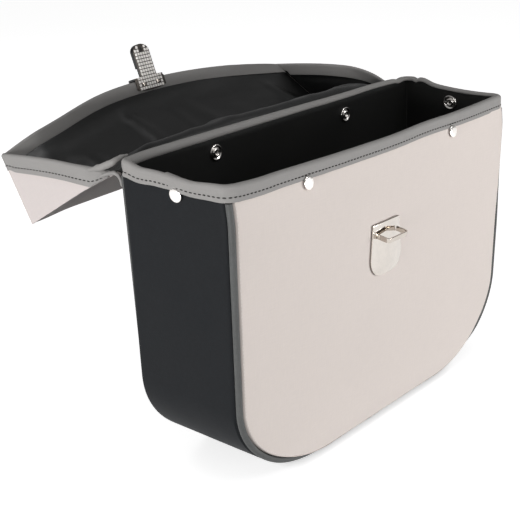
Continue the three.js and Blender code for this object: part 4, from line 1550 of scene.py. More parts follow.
def arc_points(
    centre: Sequence[float], radii: Sequence[float], start: float, end: float, steps: int
) -> Array:
    """Points on an arc of an ellipse between two angles in degrees."""
    angles = np.radians(np.linspace(start, end, steps + 1))
    return columns_of(centre[0] + radii[0] * np.cos(angles), centre[1] + radii[1] * np.sin(angles))


@dataclass
class Keeper:
    """Keeper on the front: a mirror-bright plate and a bent strip that takes the clasp's tongue."""

    shop: Workshop
    form: BagForm
    x: float = -6.5
    plate_top: float = 45.0
    plate_low: float = 52.0
    plate_height: float = 54.0
    plate_foot: float = 158.0
    plate_corner: float = 18.0
    plate_thick: float = 1.5
    loop_width: float = 34.0
    loop_reach: float = 14.0
    loop_tall: float = 5.0
    loop_strip: float = 1.5
    loop_corner: float = 4.0
    loop_foot: float = 197.5
    loop_droop: float = 9.0

    def build(self) -> None:
        """Make the plate and the loop."""
        form = self.form
        plate, loop = form.settled(self.plate()), form.settled(self.loop())
        # The plate takes the nickel dimmed as a painted reflection.
        self.shop.piece("keeper_plate_metal", plate, Look.DIMMED_PLATE_NICKEL, "nickel", ["keeper_plate"])
        # The loop takes the nickel darkened as a painted reflection.
        self.shop.piece("keeper_loop_metal", loop, Look.DARKENED_NICKEL, "nickel", ["keeper_loop"])
        # A dark strip along the plate's edge: painted shade.
        self.shop.piece("keeper_plate_edge", form.settled(self.edge()), Look.SHADED_PLATE_EDGE, "nickel")

    def face(self) -> float:
        """Place of the panel's outer face behind the plate."""
        return float(self.form.front(self.plate_foot)) + self.form.recess - self.form.crown

    def plate(self) -> Shell:
        """Plate that widens downwards, with round lower corners."""
        return plate_shell([self.outline()], 0.0, self.plate_thick, 0.5).moved(self.frame())

    def outline(self) -> Array:
        """Outline of the plate, anticlockwise from its top.

        Returns:
            Places across and above the plate's foot.
        """
        corner, half_low, half_top = self.plate_corner, self.plate_low / 2.0, self.plate_top / 2.0
        return np.concatenate([
            arc_points((-half_top + 1.2, self.plate_height - 1.2), (1.2, 1.2), 90.0, 180.0, 5),
            arc_points((-half_low + corner, corner), (corner, corner), 180.0, 270.0, 18),
            arc_points((half_low - corner, corner), (corner, corner), 270.0, 360.0, 18),
            arc_points((half_top - 1.2, self.plate_height - 1.2), (1.2, 1.2), 0.0, 90.0, 5),
        ])

    def frame(self) -> Array:
        """Frame on the front panel behind the plate, with Z out of it.

        Returns:
            A 4 by 4 matrix in millimetres.
        """
        return np.array([
            [1.0, 0.0, 0.0, self.x],
            [0.0, 0.0, -1.0, self.face() - self.form.gap],
            [0.0, 1.0, 0.0, self.plate_foot],
            [0.0, 0.0, 0.0, 1.0],
        ])

    def edge(self) -> Shell:
        """Dark tube along the plate's left side and its top: painted shade for the plate's edge in shadow.

        Returns:
            Its closed skin.
        """
        line = np.concatenate([[[self.plate_top / 2.0 - 3.0, self.plate_height]], self.outline()[:18]])
        aside = unit(np.gradient(line, axis=0))[:, ::-1] * np.array([-1.0, 1.0])
        angle = round_angles(8)
        rings = np.stack([
            np.column_stack([
                spot + 0.3 * np.outer(np.cos(angle), off),
                self.plate_thick / 2.0 + 0.7 * np.sin(angle),
            ])
            for spot, off in zip(line, aside)
        ])
        return tube_shell(rings).moved(self.frame())

    def loop(self) -> Shell:
        """Strip bent to a U, with its ends at the plate.

        Returns:
            Its closed skin.
        """
        half, corner, mid = self.loop_width / 2.0, self.loop_corner, self.loop_strip / 2.0
        bend = corner - self.loop_reach
        path = np.concatenate([
            np.array([[-half + mid, 0.0]]),
            arc_points((-half + corner, bend), (corner - mid, corner - mid), 180.0, 270.0, 12),
            arc_points((half - corner, bend), (corner - mid, corner - mid), 270.0, 360.0, 12),
            np.array([[half - mid, 0.0]]),
        ])
        ahead = np.gradient(path, axis=0)
        side = unit(columns_of(ahead[:, 1], -ahead[:, 0]))
        round_off = 0.45
        wide, tall = mid - round_off, self.loop_tall / 2.0 - round_off
        quarters = ((1.0, 1.0, 0.0), (-1.0, 1.0, 90.0), (-1.0, -1.0, 180.0), (1.0, -1.0, 270.0))
        section = np.concatenate([
            arc_points((x * wide, z * tall), (round_off, round_off), angle, angle + 90.0, 4)
            for x, z, angle in quarters
        ])
        rings = np.stack([
            np.column_stack([
                place + section[:, :1] * aside,
                section[:, 1] + self.loop_tall / 2.0,
            ])
            for place, aside in zip(path, side)
        ])
        shell = tube_shell(rings)
        frame = np.array(Matrix.Rotation(math.radians(self.loop_droop), 4, "X"))
        stand = self.face() - self.plate_thick - 2.0 * self.form.gap
        frame[:3, 3] = (self.x, stand, self.loop_foot)
        return shell.moved(frame)


class Stretch(Enum):
    """A stretch of the lid's section, from the back rim to its free edge."""

    FLANGE = "flange"
    HINGE = "hinge"
    SLOPE = "slope"
    BEND = "bend"
    FLAP = "flap"
    CURL = "curl"
    EDGE = "edge"


STRETCH_STEPS = {
    Stretch.FLANGE: 6,
    Stretch.HINGE: 14,
    Stretch.SLOPE: 46,
    Stretch.BEND: 8,
    Stretch.FLAP: 30,
    Stretch.CURL: 10,
    Stretch.EDGE: 6,
}


@dataclass(frozen=True)
class LidRow:
    """Values of the lid's section at one width: heights and lengths in millimetres, angles in degrees."""

    hinge_top: float
    droop: float
    turn: float
    drop: float
    curl: float


@dataclass(frozen=True)
class LidForm:
    """Shape of the open lid in millimetres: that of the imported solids, with the sag of its soft ends."""

    left: LidRow = LidRow(301.0, 35.4, 94.4, 72.0, 0.0)
    middle: LidRow = LidRow(307.5, 32.5, 69.2, 112.5, 34.0)
    right: LidRow = LidRow(308.0, 20.4, 51.4, 74.0, 0.0)
    left_sag: LidRow = LidRow(-15.0, -5.2, -5.2, 0.0, 0.0)
    right_sag: LidRow = LidRow(-11.0, -4.8, -4.8, 0.0, 0.0)
    left_sag_from: float = 185.0
    right_sag_from: float = 110.0
    left_dip: tuple[float, float, float] = (4.2, -160.0, 58.0)
    narrowing: float = 11.0
    narrow_run: tuple[float, float] = (85.0, 130.0)
    half_width: float = 231.0
    run: float = 126.5
    hinge_y: float = 70.0
    hinge_foot: float = 272.0
    hinge_radius: float = 8.0
    fold_radius: float = 2.2
    leg: float = 17.0
    inner_leg: float = 14.0
    inner_leg_growth: tuple[float, float, float] = (3.5, 60.0, 220.0)
    edge: float = 19.0
    curl_run: float = 25.0
    wall: float = 1.2
    lining: float = 1.0
    gap: float = 0.3
    wing_run: float = 145.0
    wing_start: float = 0.19
    wing_powers: tuple[float, float] = (0.81, 0.42)
    wing_low: float = 4.0
    wing_back: float = 122.0
    wing_tape_back: float = 120.0
    tape_corner: float = 2.0
    tape_cover: float = 2.1

    @property
    def stack(self) -> float:
        """Thickness of the lid's cloth with its lining."""
        return self.wall + self.gap + self.lining

    @property
    def wing_x(self) -> float:
        """Distance of a wing's inner face from the middle."""
        return self.half_width + self.gap

    def narrowed(self, back: Array) -> Array:
        """How much less than its half width the lid measures, some way back from its fold."""
        return self.narrowing * smooth_step(*self.narrow_run, back)

    def value(self, name: str, x: Array) -> Array:
        """Value of the section at some width.

        Args:
            name: Name of the value in a lid row.
            x: Width, or an array of widths.

        Returns:
            A curve through the left, middle and right values, with the sag at both ends added.
        """
        place = np.asarray(x, float)
        share = place / self.half_width
        left, middle, right = (getattr(row, name) for row in (self.left, self.middle, self.right))
        even = middle + (right - left) / 2.0 * share + ((left + right) / 2.0 - middle) * share * share
        ends = ((self.left_sag, self.left_sag_from, -place), (self.right_sag, self.right_sag_from, place))
        for row, start, out in ends:
            even = even + getattr(row, name) * smooth_step(start, self.half_width, out)
        return even


class LidSection:
    """Section of the lid at some widths, with its points as complex numbers y + z i."""

    def __init__(self, form: LidForm, x: Array) -> None:
        """Work out the turning points of the section.

        Args:
            form: Shape of the lid.
            x: Width, or an array of widths.
        """
        self.form = form
        self.x = np.asarray(x, float)
        self.droop = np.radians(form.value("droop", x))
        self.rise = np.radians(form.value("turn", x)) - self.droop
        depth, middle, width = form.left_dip
        self.drop = form.value("drop", x) - depth * bell(middle, width, x)
        self.curl = np.maximum(np.radians(form.value("curl", x)), 1e-6)
        top = form.value("hinge_top", x)
        self.hinge = form.hinge_y + form.hinge_radius + 1j * (top - form.hinge_radius)
        self.along = np.exp(-1j * self.droop)
        self.flap = np.exp(1j * self.rise)
        self.lip = np.exp(1j * (self.rise + self.curl))
        self.slope_start = self.hinge + form.hinge_radius * 1j * self.along
        self.fold = self.slope_start + form.run * self.along
        self.tangent = form.fold_radius * np.tan((self.droop + self.rise) / 2.0)
        self.curl_start = self.fold + self.flap * (self.drop - form.edge - form.curl_run)
        self.curl_end = self.curled(1.0)
        self.edge = self.curl_end + self.lip * form.edge

    def curled(self, share: float) -> Array:
        """Point on the curl of the flap.

        Args:
            share: Share of the way along the curl.

        Returns:
            The point for each width.
        """
        half = self.curl * share / 2.0
        chord = self.form.curl_run * share * np.sin(half) / half if share > 0.0 else 0.0
        return self.curl_start + chord * np.exp(1j * (self.rise + half))

    def run(self, stretch: Stretch, share: float) -> tuple[Array, Array]:
        """Point of the lining's face and the direction of the section there.

        Args:
            stretch: Stretch of the section.
            share: Share of the way along it.

        Returns:
            The place and the direction for each width.
        """
        form = self.form
        if stretch is Stretch.FLANGE:
            height = lerp(form.hinge_foot, self.hinge.imag, share)
            return form.hinge_y + 1j * height, np.full_like(self.hinge, 1j)
        if stretch is Stretch.HINGE:
            direction = np.exp(1j * lerp(math.pi / 2.0, -self.droop, share))
            return self.hinge + 1j * direction * form.hinge_radius, direction
        if stretch is Stretch.SLOPE:
            return self.slope_start + self.along * (form.run - self.tangent) * share, self.along
        if stretch is Stretch.BEND:
            direction = np.exp(1j * lerp(-self.droop, self.rise, share))
            centre = self.fold - self.along * self.tangent + 1j * self.along * form.fold_radius
            return centre - 1j * direction * form.fold_radius, direction
        if stretch is Stretch.FLAP:
            foot = self.fold + self.flap * self.tangent
            return lerp(foot, self.curl_start, share), self.flap
        if stretch is Stretch.CURL:
            return self.curled(share), np.exp(1j * (self.rise + self.curl * share))
        return self.curl_end + self.lip * (form.edge - form.tape_cover) * share, self.lip


def in_space(x: Array, place: Array) -> Array:
    """Places in space of section points at some widths."""
    return columns_of(x, place.real, place.imag)


@dataclass
class Lid:
    """The lid thrown back: its cloth, lining, wings, binding and stitching."""

    shop: Workshop
    form: LidForm
    body: BagForm
    columns: int = 130
    wing_rows: int = 70
    wing_columns: int = 26
    corner_steps: int = 8
    pitch: float = 4.6
    stitch: float = 3.0
    thread: float = 0.56
    line_share: float = 0.72
    shoulder: float = 2.6

    def build(self) -> None:
        """Make every piece of the lid."""
        form = self.form
        lining_half = form.half_width - form.lining - form.gap
        outer = self.sheet(form.half_width, form.lining + form.gap, form.stack, 0.0)
        # The lid's cloth and wings take the darker painted-shade copy of the canvas.
        self.shop.sheet("lid_panel_cloth", outer, Look.SHADED_LID_CANVAS, "pale_cloth", "lid_panel", Hold.FOLDED)
        inner = self.sheet(lining_half, 0.0, form.lining, 1.0)
        self.shop.sheet("lid_lining_cloth", inner, Look.LINING, "black_lining", "lid_lining", Hold.FOLDED)
        for label, sign in (("left", -1.0), ("right", 1.0)):
            wing = self.wing(sign, form.wing_x, form.wing_x + form.wall, form.stack)
            node = "lid_wing_" + label
            self.shop.sheet(node + "_cloth", wing, Look.SHADED_LID_CANVAS, "pale_cloth", node)
            inside = self.wing(sign, lining_half + form.gap, form.wing_x - form.gap, 0.0)
            node = "lid_wing_lining_" + label
            self.shop.sheet(node + "_cloth", inside, Look.LINING, "black_lining", node)
        self.shop.piece("lid_binding_tuck", self.tuck(), Look.TAPE, "grey_tape")
        self.binding()

    def tuck(self) -> Shell:
        """Gathered end of the tape, from the left wing's edge to the hinge.

        Returns:
            Its closed skin.
        """
        roll = (
            (231.8, 104.2, 285.0, 1.0, 1.6), (231.8, 99.1, 286.6, 2.0, 2.2), (231.5, 91.7, 288.6, 3.0, 2.6),
            (231.0, 84.5, 291.0, 3.4, 2.9), (230.0, 78.0, 293.8, 3.2, 2.9), (228.3, 73.9, 296.4, 2.9, 2.7),
            (225.5, 72.6, 298.2, 2.6, 2.4), (220.0, 72.5, 299.2, 2.3, 2.3), (212.0, 72.4, 299.6, 1.0, 1.2),
        )
        strip = (
            (231.6, 92.0, 279.5, 1.0, 1.2), (230.6, 86.0, 282.6, 1.8, 1.7), (228.0, 81.0, 285.0, 2.0, 1.8),
            (225.4, 76.5, 285.6, 2.0, 1.8), (223.4, 73.3, 283.6, 1.9, 1.7), (221.6, 72.2, 279.0, 1.6, 1.5),
            (221.0, 72.0, 273.0, 1.0, 1.2),
        )
        return joined([self.rolled(roll, 64), self.rolled(strip, 30)])

    def rolled(self, knots: Sequence[Sequence[float]], steps: int) -> Shell:
        """Lumpy roll of tape through some knots at the left end.

        Args:
            knots: Distance from the middle, y, z, half height and half width of each knot.
            steps: Number of rings.

        Returns:
            Its closed skin.
        """
        table = np.array(knots)
        walked = along_lengths(table[:, :3])
        even = np.linspace(0.0, walked[-1], steps)
        spread = along_line(even, walked, table)
        line = spread[:, :3] * np.array([-1.0, 1.0, 1.0])
        ahead = unit(np.gradient(line, axis=0))
        aside = unit(np.cross(ahead, np.cross(np.array([-1.0, 0.0, 0.0]), ahead)))
        above = np.cross(aside, ahead)
        angle = round_angles(22)
        reach = aside[:, None, :] * (spread[:, 4:] * np.cos(angle))[..., None]
        rise = above[:, None, :] * (spread[:, 3:4] * np.sin(angle))[..., None]
        rings = line[:, None, :] + reach + rise
        lumps = 1.0 + 0.2 * soft_noise(rings, 6.5, 131.0) + 0.1 * soft_noise(rings, 2.6, 137.0)
        return tube_shell(line[:, None, :] + (reach + rise) * lumps[..., None])

    def sheet(self, half: float, near: float, far: float, slack: float) -> Shell:
        """Sheet of the lid between two depths.

        Args:
            half: Half of its width.
            near: Depth of its inner face.
            far: Depth of its outer face.
            slack: How far the cloth puffs off the lid.

        Returns:
            The closed skin of the sheet.
        """
        x = np.linspace(-half, half, self.columns + 1)
        section = LidSection(self.form, x)
        places, outs = [], []
        for stretch in Stretch:
            first = 0 if stretch is Stretch.FLANGE else 1
            steps = STRETCH_STEPS[stretch]
            for step in range(first, steps + 1):
                place, direction = section.run(stretch, step / steps)
                places.append(place)
                outs.append(-1j * direction)
        place, out = np.array(places), np.array(outs)
        middle = in_space(np.broadcast_to(x, place.shape), place)
        walked = along_lengths(middle[:, self.columns // 2])
        shift = self.folds(middle, walked, half)
        puff = slack * self.puffs(middle, walked, half)
        faces = []
        for depth, share in ((near, 1.0), (far, 0.0)):
            moved = place + out * (depth + shift - puff * share)
            faces.append(self.drawn_in(in_space(np.broadcast_to(x, place.shape), moved)))
        cut = columns_of(x[None, :], walked[:, None])
        return sheet_shell(faces[0], faces[1], cut, hem=0.2)

    def drawn_in(self, points: Array) -> Array:
        """Places moved towards the middle near the hinge, where the lid is no wider than the bag.

        Args:
            points: Places on the lid.

        Returns:
            The moved places.
        """
        half = self.form.half_width
        moved = points.copy()
        for sign in (-1.0, 1.0):
            end = self.end(sign)
            along, flap = end.along[0], end.flap[0]
            away = (points[..., 1] + 1j * points[..., 2] - end.fold[0]) / flap
            back = away.imag / (-along / flap).imag
            share = np.maximum(0.0, sign * points[..., 0]) / half
            moved[..., 0] -= sign * share * self.form.narrowed(back)
        return moved

    def end(self, sign: float) -> LidSection:
        """Section at the left end, for a sign of -1, or at the right end."""
        return LidSection(self.form, np.array([sign * self.form.half_width]))

    def free(self, middle: Array, walked: Array, half: float) -> Array:
        """Share by which the cloth is free to move, 0 at its seams.

        Args:
            middle: Places of the sheet.
            walked: Distance of each row from the back rim.
            half: Half of the sheet's width.

        Returns:
            A share for each place.
        """
        sides = smooth_step(2.0, 34.0, half - np.abs(middle[..., 0]))
        rows = smooth_step(30.0, 60.0, walked) * smooth_step(18.0, 40.0, walked[-1] - walked)
        return sides * rows[:, None]

    def folds(self, middle: Array, walked: Array, half: float) -> Array:
        """How far the whole lid bulges outwards."""
        wave = soft_noise(middle, 110.0, 71.0) * 1.4 + soft_noise(middle, 45.0, 73.0) * 0.5
        return wave * self.free(middle, walked, half)

    def puffs(self, middle: Array, walked: Array, half: float) -> Array:
        """How far the lining alone stands off the lid's cloth.

        Args:
            middle: Places of the sheet.
            walked: Distance of each row from the back rim.
            half: Half of the sheet's width.

        Returns:
            The distance for each place.
        """
        broad = np.maximum(0.0, soft_noise(middle, 70.0, 83.0) + 0.25) * 2.4
        small = np.maximum(0.0, soft_noise(middle * np.array([0.7, 1.0, 1.6]), 26.0, 89.0)) * 0.9
        slant = middle[..., 0] + 0.35 * walked[:, None]
        lie = columns_of(slant, walked[:, None] * 0.22, 0.0)
        long = np.maximum(0.0, soft_noise(lie, 36.0, 91.0)) ** 1.5 * 12.0
        return (broad + small + long) * self.free(middle, walked, half)

    def wing_height(self, sign: float, back: Array, drop: float) -> Array:
        """Height of a wing's free edge above the lid's top.

        Args:
            sign: -1 for the left wing and 1 for the right.
            back: Distance back from the fold.
            drop: Height at the fold.

        Returns:
            The height at each distance.
        """
        form = self.form
        power = form.wing_powers[0] if sign < 0.0 else form.wing_powers[1]
        share = 1.0 - np.asarray(back) / form.wing_run
        risen = np.maximum(0.0, (share - form.wing_start) / (1.0 - form.wing_start))
        return form.wing_low + (drop - form.wing_low) * risen**power

    def wing_place(self, sign: float, back: Array, up: Array, depth: float) -> Array:
        """Point of a wing's plane.

        Args:
            sign: -1 for the left wing and 1 for the right.
            back: Distance back from the fold.
            up: Distance up along the flap.
            depth: Distance out of the lid.

        Returns:
            Its place in the section.
        """
        end = self.end(sign)
        along, flap, fold = end.along[0], end.flap[0], end.fold[0]
        corner = (-1j * along - 1j * flap) / (1.0 + (flap / along).real)
        return fold + corner * depth - along * back + flap * up

    def wing_drop(self, sign: float) -> float:
        """Height of a wing at the fold, which is that of the flap where its tape starts to turn."""
        return float(LidSection(self.form, np.array([sign * self.tape_end()])).drop[0])

    def tape_end(self) -> float:
        """Distance from the middle where the flap's tape starts to turn round the corner."""
        form = self.form
        return form.wing_x + form.wall - form.stack / 2.0 - form.tape_corner

    def wing_inset(self, sign: float, depth: float) -> float:
        """How far a wing's corner moves along the lid and the flap when it lies deeper by some depth."""
        end = self.end(sign)
        return depth / float((end.flap[0] / end.along[0]).imag)

    def wing(self, sign: float, near_x: float, far_x: float, depth: float) -> Shell:
        """Sheet of a wing.

        Args:
            sign: -1 for the left wing and 1 for the right.
            near_x: Distance of its inner face from the middle.
            far_x: Distance of its outer face.
            depth: How far its seams lie outside the lining.

        Returns:
            The closed skin of the wing.
        """
        form = self.form
        drop = self.wing_drop(sign)
        inset = self.wing_inset(sign, depth)
        back = form.wing_back * np.arange(self.wing_rows + 1) / self.wing_rows
        top = self.wing_height(sign, back - inset, drop) + inset - form.tape_cover
        up = top[:, None] * (np.arange(self.wing_columns + 1) / self.wing_columns)[None, :]
        place = self.wing_place(sign, back[:, None], up, depth)
        middle = in_space(np.full(place.shape, sign * form.wing_x), place)
        below = top[:, None] - up
        free = smooth_step(0.0, 16.0, up - inset) * smooth_step(12.0, 36.0, below)
        free = free * smooth_step(4.0, 26.0, back - inset)[:, None]
        crease = 0.9 * bell(27.0, 8.0, below) - 1.2 * bell(19.0, 3.5, below)
        bulge = (soft_noise(middle, 38.0, 97.0) * 1.8 + crease) * free
        faces = [self.drawn_in(in_space(sign * (x + bulge), place)) for x in (near_x, far_x)]
        cut = columns_of(back[:, None], up)
        return sheet_shell(faces[0], faces[1], cut, hem=0.2)

    def wing_ring(self, sign: float, back: float) -> Four:
        """Frame of the tape at one place of a wing's edge.

        Args:
            sign: -1 for the left wing and 1 for the right.
            back: Distance back from the fold.

        Returns:
            Its place, the ways outward and down the wing, and the lengths of both legs.
        """
        form = self.form
        end = self.end(sign)
        spots = np.array([back - 0.5, back, back + 0.5])
        heights = self.wing_height(sign, spots, self.wing_drop(sign))
        edge = self.wing_place(sign, spots, heights, 0.0)
        height, flap, along = float(heights[1]), complex(end.flap[0]), complex(end.along[0])
        square = 1j * (edge[2] - edge[0])
        square = square / abs(square)
        into = lerp(-flap, square, float(smooth_step(2.0, 22.0, back)))
        into = into / abs(into)
        falls = max(0.2, (into * 1j / along).real / (flap * 1j / along).real * -1.0)
        stack_x = form.wing_x + form.wall - form.stack / 2.0
        place = np.array([sign * stack_x, edge[1].real, edge[1].imag])
        legs = np.array([
            min(form.leg, (height + form.stack - form.gap) / falls),
            min(form.inner_leg, (height - form.lining) / falls),
        ])
        return place, np.array([sign, 0.0, 0.0]), np.array([0.0, into.real, into.imag]), legs

    def flap_ring(self, x: float, turn: float) -> Four:
        """Frame of the tape at one place of the flap's edge.

        Args:
            x: Width of the place.
            turn: Angle in radians turned round the corner to a wing.

        Returns:
            Its place, the ways outward and down the flap, and the lengths of both legs.
        """
        form = self.form
        section = LidSection(form, np.array([x]))
        lip, edge = complex(section.lip[0]), complex(section.edge[0])
        out = -1j * lip
        bend = form.tape_corner
        middle = edge + out * (form.stack / 2.0 - bend)
        rounded = np.array([0.0, out.real, out.imag]) * math.cos(turn)
        rounded = rounded + np.array([math.copysign(1.0, x), 0.0, 0.0]) * math.sin(turn)
        place = np.array([x, middle.real, middle.imag]) + rounded * bend
        growth, start, full = form.inner_leg_growth
        inner_leg = form.inner_leg + growth * float(smooth_step(start, full, x))
        return place, rounded, np.array([0.0, -lip.real, -lip.imag]), np.array([form.leg, inner_leg])

    def rings(self) -> list[Four]:
        """Frames of the tape from the left hinge round the flap to the right hinge.

        Returns:
            One frame for each ring.
        """
        form = self.form
        end_x = self.tape_end()
        near_back = form.tape_corner - form.stack / 2.0
        shares = np.arange(self.wing_rows + 1) / self.wing_rows
        turns = np.radians(90.0 * np.arange(1, self.corner_steps) / self.corner_steps)
        backs = lerp(form.wing_tape_back, near_back, shares)
        made = [self.wing_ring(-1.0, float(back)) for back in backs]
        made += [self.flap_ring(-end_x, float(turn)) for turn in turns[::-1]]
        made += [self.flap_ring(float(x), 0.0) for x in np.linspace(-end_x, end_x, 2 * self.columns)]
        made += [self.flap_ring(end_x, float(turn)) for turn in turns]
        return made + [self.wing_ring(1.0, float(back)) for back in backs[::-1]]

    def binding(self) -> None:
        """Make the tape round the lid's free edge and its stitches."""
        body, stack = self.body, self.form.stack
        near, far, line, outs = [], [], [], []
        for place, out, into, legs in self.rings():
            outer_leg, inner_leg = (float(leg) for leg in legs)
            seam, low = outer_leg * self.line_share, min(self.shoulder, inner_leg * 0.7)
            section = TapeCut(stack, body.tape, body.tape_slack, self.shoulder, seam, low)
            outer, inner = section.lines(outer_leg, inner_leg)
            for target, flat in ((near, outer), (far, inner)):
                target.append(place + flat[:, :1] * out + flat[:, 1:] * into)
            line.append(place + (section.half - 0.2) * out + section.line * into)
            outs.append(out)
        near, far, outs = np.array(near), np.array(far), np.array(outs)
        wave = 0.3 * soft_noise(near, 20.0, 101.0)
        shift = wave[..., None] * outs[:, None, :]
        walked = along_lengths(near[:, self.columns // 8])
        cut = columns_of(along_lengths(near[len(near) // 2])[None, :], walked[:, None])
        shell = sheet_shell(self.drawn_in(near + shift), self.drawn_in(far + shift), cut, hem=0.3)
        self.shop.sheet("lid_binding_tape", shell, Look.TAPE, "grey_tape", "lid_binding", Hold.FOLDED)
        seam = self.drawn_in(np.array(line))
        places, alongs, off = spaced_stitches(seam, outs, self.pitch, loop=False)
        shell = stitch_shell(places, alongs, off, self.stitch, self.thread)
        self.shop.piece("lid_binding_stitches", shell, Look.THREAD, "grey_tape")


@dataclass
class Clasp:
    """Clasp on the middle of the lid's edge: a chequered plate inside and a dark body outside."""

    shop: Workshop
    lid: LidForm
    body: BagForm
    base_width: float = 50.0
    base_leg: float = 10.5
    base_bulge: float = 2.5
    base_chamfer: float = 3.0
    tongue_width: float = 27.0
    tongue_length: float = 36.5
    tongue_tip: float = 8.5
    tongue_neck: float = 10.0
    clear: float = 0.8
    plate: float = 0.8
    chequer_levels: tuple[float, float] = (0.55, 1.12)
    chequer_shares: tuple[float, float] = (0.4, 0.375)
    block: float = 4.0
    neck: float = 2.2
    outer: float = 2.0
    slot_width: float = 3.5
    slot_length: float = 5.0
    slot_below: float = 6.6
    rivet_across: float = 12.0
    rivet_below: float = 5.5
    pitch: tuple[float, float] = (4.2, 3.8)

    @property
    def face(self) -> float:
        """Height of the plate's underside off the middle of the lid's edge."""
        return self.lid.stack / 2.0 + self.body.tape_slack + self.body.tape + self.clear

    @property
    def lip(self) -> float:
        """Place of the hook's end beyond the lid's edge."""
        return self.clear + self.outer

    @property
    def tip(self) -> float:
        """Place of the tongue's end beyond the lid's edge."""
        return self.lip + self.tongue_length

    def frame(self) -> Array:
        """Frame on the lid's edge: X along it, Y on beyond it, Z to the lining's side.

        Returns:
            A 4 by 4 matrix in millimetres.
        """
        half = self.base_width / 2.0
        section = LidSection(self.lid, np.array([-half, 0.0, half]))
        edge = in_space(section.x, section.edge - 1j * section.lip * self.lid.stack / 2.0)
        along = unit(edge[2] - edge[0])
        upright = np.array([0.0, section.lip[1].real, section.lip[1].imag])
        inward = unit(np.cross(along, upright))
        made = np.eye(4)
        made[:3, :3] = columns_of(along, np.cross(inward, along), inward)
        made[:3, 3] = edge[1]
        return made

    def tongue(self, root: float) -> Array:
        """Outline of the tongue, anticlockwise from its right root round its tip.

        Args:
            root: Place of its root beyond the lid's edge.

        Returns:
            The corners in order.
        """
        half = self.tongue_width / 2.0
        tip = arc_points((0.0, self.tip - self.tongue_tip), (half, self.tongue_tip), 0.0, 180.0, 24)
        return np.concatenate([[[half, root]], tip, [[-half, root]]])

    def outline(self) -> Array:
        """Outline of the plate, anticlockwise.

        Returns:
            The corners in order.
        """
        half = self.base_width / 2.0
        share = np.linspace(0.0, 1.0, 17)
        low = columns_of(lerp(-half, half, share), -self.base_leg - self.base_bulge * sag(share))
        right = np.array([[half, self.lip - self.base_chamfer], [half - self.base_chamfer, self.lip]])
        return np.concatenate([low, right, self.tongue(self.lip), [[-half, self.lip]]])

    def pyramids(self) -> Shell:
        """Chequer of small blunt pyramids on the plate.

        Returns:
            All of them as one shell.
        """
        steps = np.array(self.pitch)
        base, top = (share * steps for share in self.chequer_shares)
        low, high = (self.face + level for level in self.chequer_levels)
        corners = np.array([[-1.0, -1.0], [1.0, -1.0], [1.0, 1.0], [-1.0, 1.0]])
        faces = [[3, 2, 1, 0], [4, 5, 6, 7]]
        faces += [[i, (i + 1) % 4, (i + 1) % 4 + 4, i + 4] for i in range(4)]
        shells = []
        for spot in self.spots():
            lower = np.column_stack([spot + corners * base, np.full(4, low)])
            upper = np.column_stack([spot + corners * top, np.full(4, high)])
            points = np.concatenate([lower, upper])
            shells.append(Shell(points, faces, points[:, :2].copy()))
        return joined(shells)

    def spots(self) -> list[Array]:
        """Middles of the pyramids on the base and the tongue.

        Returns:
            Places across the clasp and beyond the lid's edge.
        """
        made = []
        wide, tall = self.pitch
        rows = int((self.tip + self.base_leg + self.base_bulge) / tall)
        for row in range(rows):
            y = -self.base_leg - self.base_bulge * 0.5 + tall * (row + 0.5)
            half = self.base_width / 2.0 if y < self.lip - tall * 0.3 else self.tongue_width / 2.0
            over = y - (self.tip - self.tongue_tip)
            if over > 0.0:
                half *= math.sqrt(max(0.0, 1.0 - (over / self.tongue_tip) ** 2))
            count = int(half / wide)
            for column in range(-count, count):
                spot = np.array([(column + 0.5) * wide, y])
                if not self.taken(spot):
                    made.append(spot)
        return made

    def taken(self, spot: Array) -> bool:
        """Whether a rivet or the slot takes the place of a pyramid.

        Args:
            spot: Middle of the pyramid.

        Returns:
            True where no pyramid stands.
        """
        wide, tall = self.pitch
        slot = abs(spot[0]) < wide and abs(spot[1] - self.tip + self.slot_below) < self.slot_length * 0.8
        beside = abs(abs(spot[0]) - self.rivet_across) < wide * 0.7
        return slot or (beside and abs(spot[1] + self.rivet_below) < tall * 0.7)

    def build(self) -> None:
        """Make the plate, the body and the rivets."""
        frame = self.frame()
        middle = self.tip - self.slot_below
        side, reach = self.slot_width / 2.0, self.slot_length / 2.0
        slot = np.array([[-side, -reach], [-side, reach], [side, reach], [side, -reach]]) + [0.0, middle]
        plate = plate_shell([self.outline(), slot], self.face, self.face + self.plate, 0.3)
        # The plate takes the painted-shade dark metal and its pyramids the painted-light bright copy.
        self.shop.piece("clasp_plate_metal", plate.moved(frame), Look.SHADE_DARK_PLATE, "nickel", ["clasp_plate"])
        self.shop.piece("clasp_plate_chequer", self.pyramids().moved(frame), Look.LIT_CHEQUER, "nickel")
        back = self.face - self.lid.gap
        neck = plate_shell([self.tongue(self.lip - 0.6)], back - self.neck, back, 0.2)
        root = self.lip + self.tongue_neck
        block = plate_shell([self.tongue(root)], back - self.block, back - 0.02, 0.2)
        shell = joined([self.hook(), neck, block]).moved(frame)
        self.shop.piece("clasp_body_moulding", shell, Look.PLASTIC, "black_plastic", ["clasp_body"])
        profile = [(0.0, -0.2), (1.3, -0.2), (1.3, 0.85), (2.3, 0.9), (2.2, 1.25), (1.6, 1.55), (0.0, 1.65)]
        rivet = turned_shell(profile, 24)
        for label, sign in (("left", -1.0), ("right", 1.0)):
            node = "clasp_rivet_" + label
            spot = np.eye(4)
            spot[:3, 3] = (sign * self.rivet_across, -self.rivet_below, self.face)
            shell = rivet.moved(frame @ spot)
            # The rivets take the nickel darkened as a painted reflection.
            self.shop.piece(node + "_turned", shell, Look.DARKENED_NICKEL, "nickel", [node])

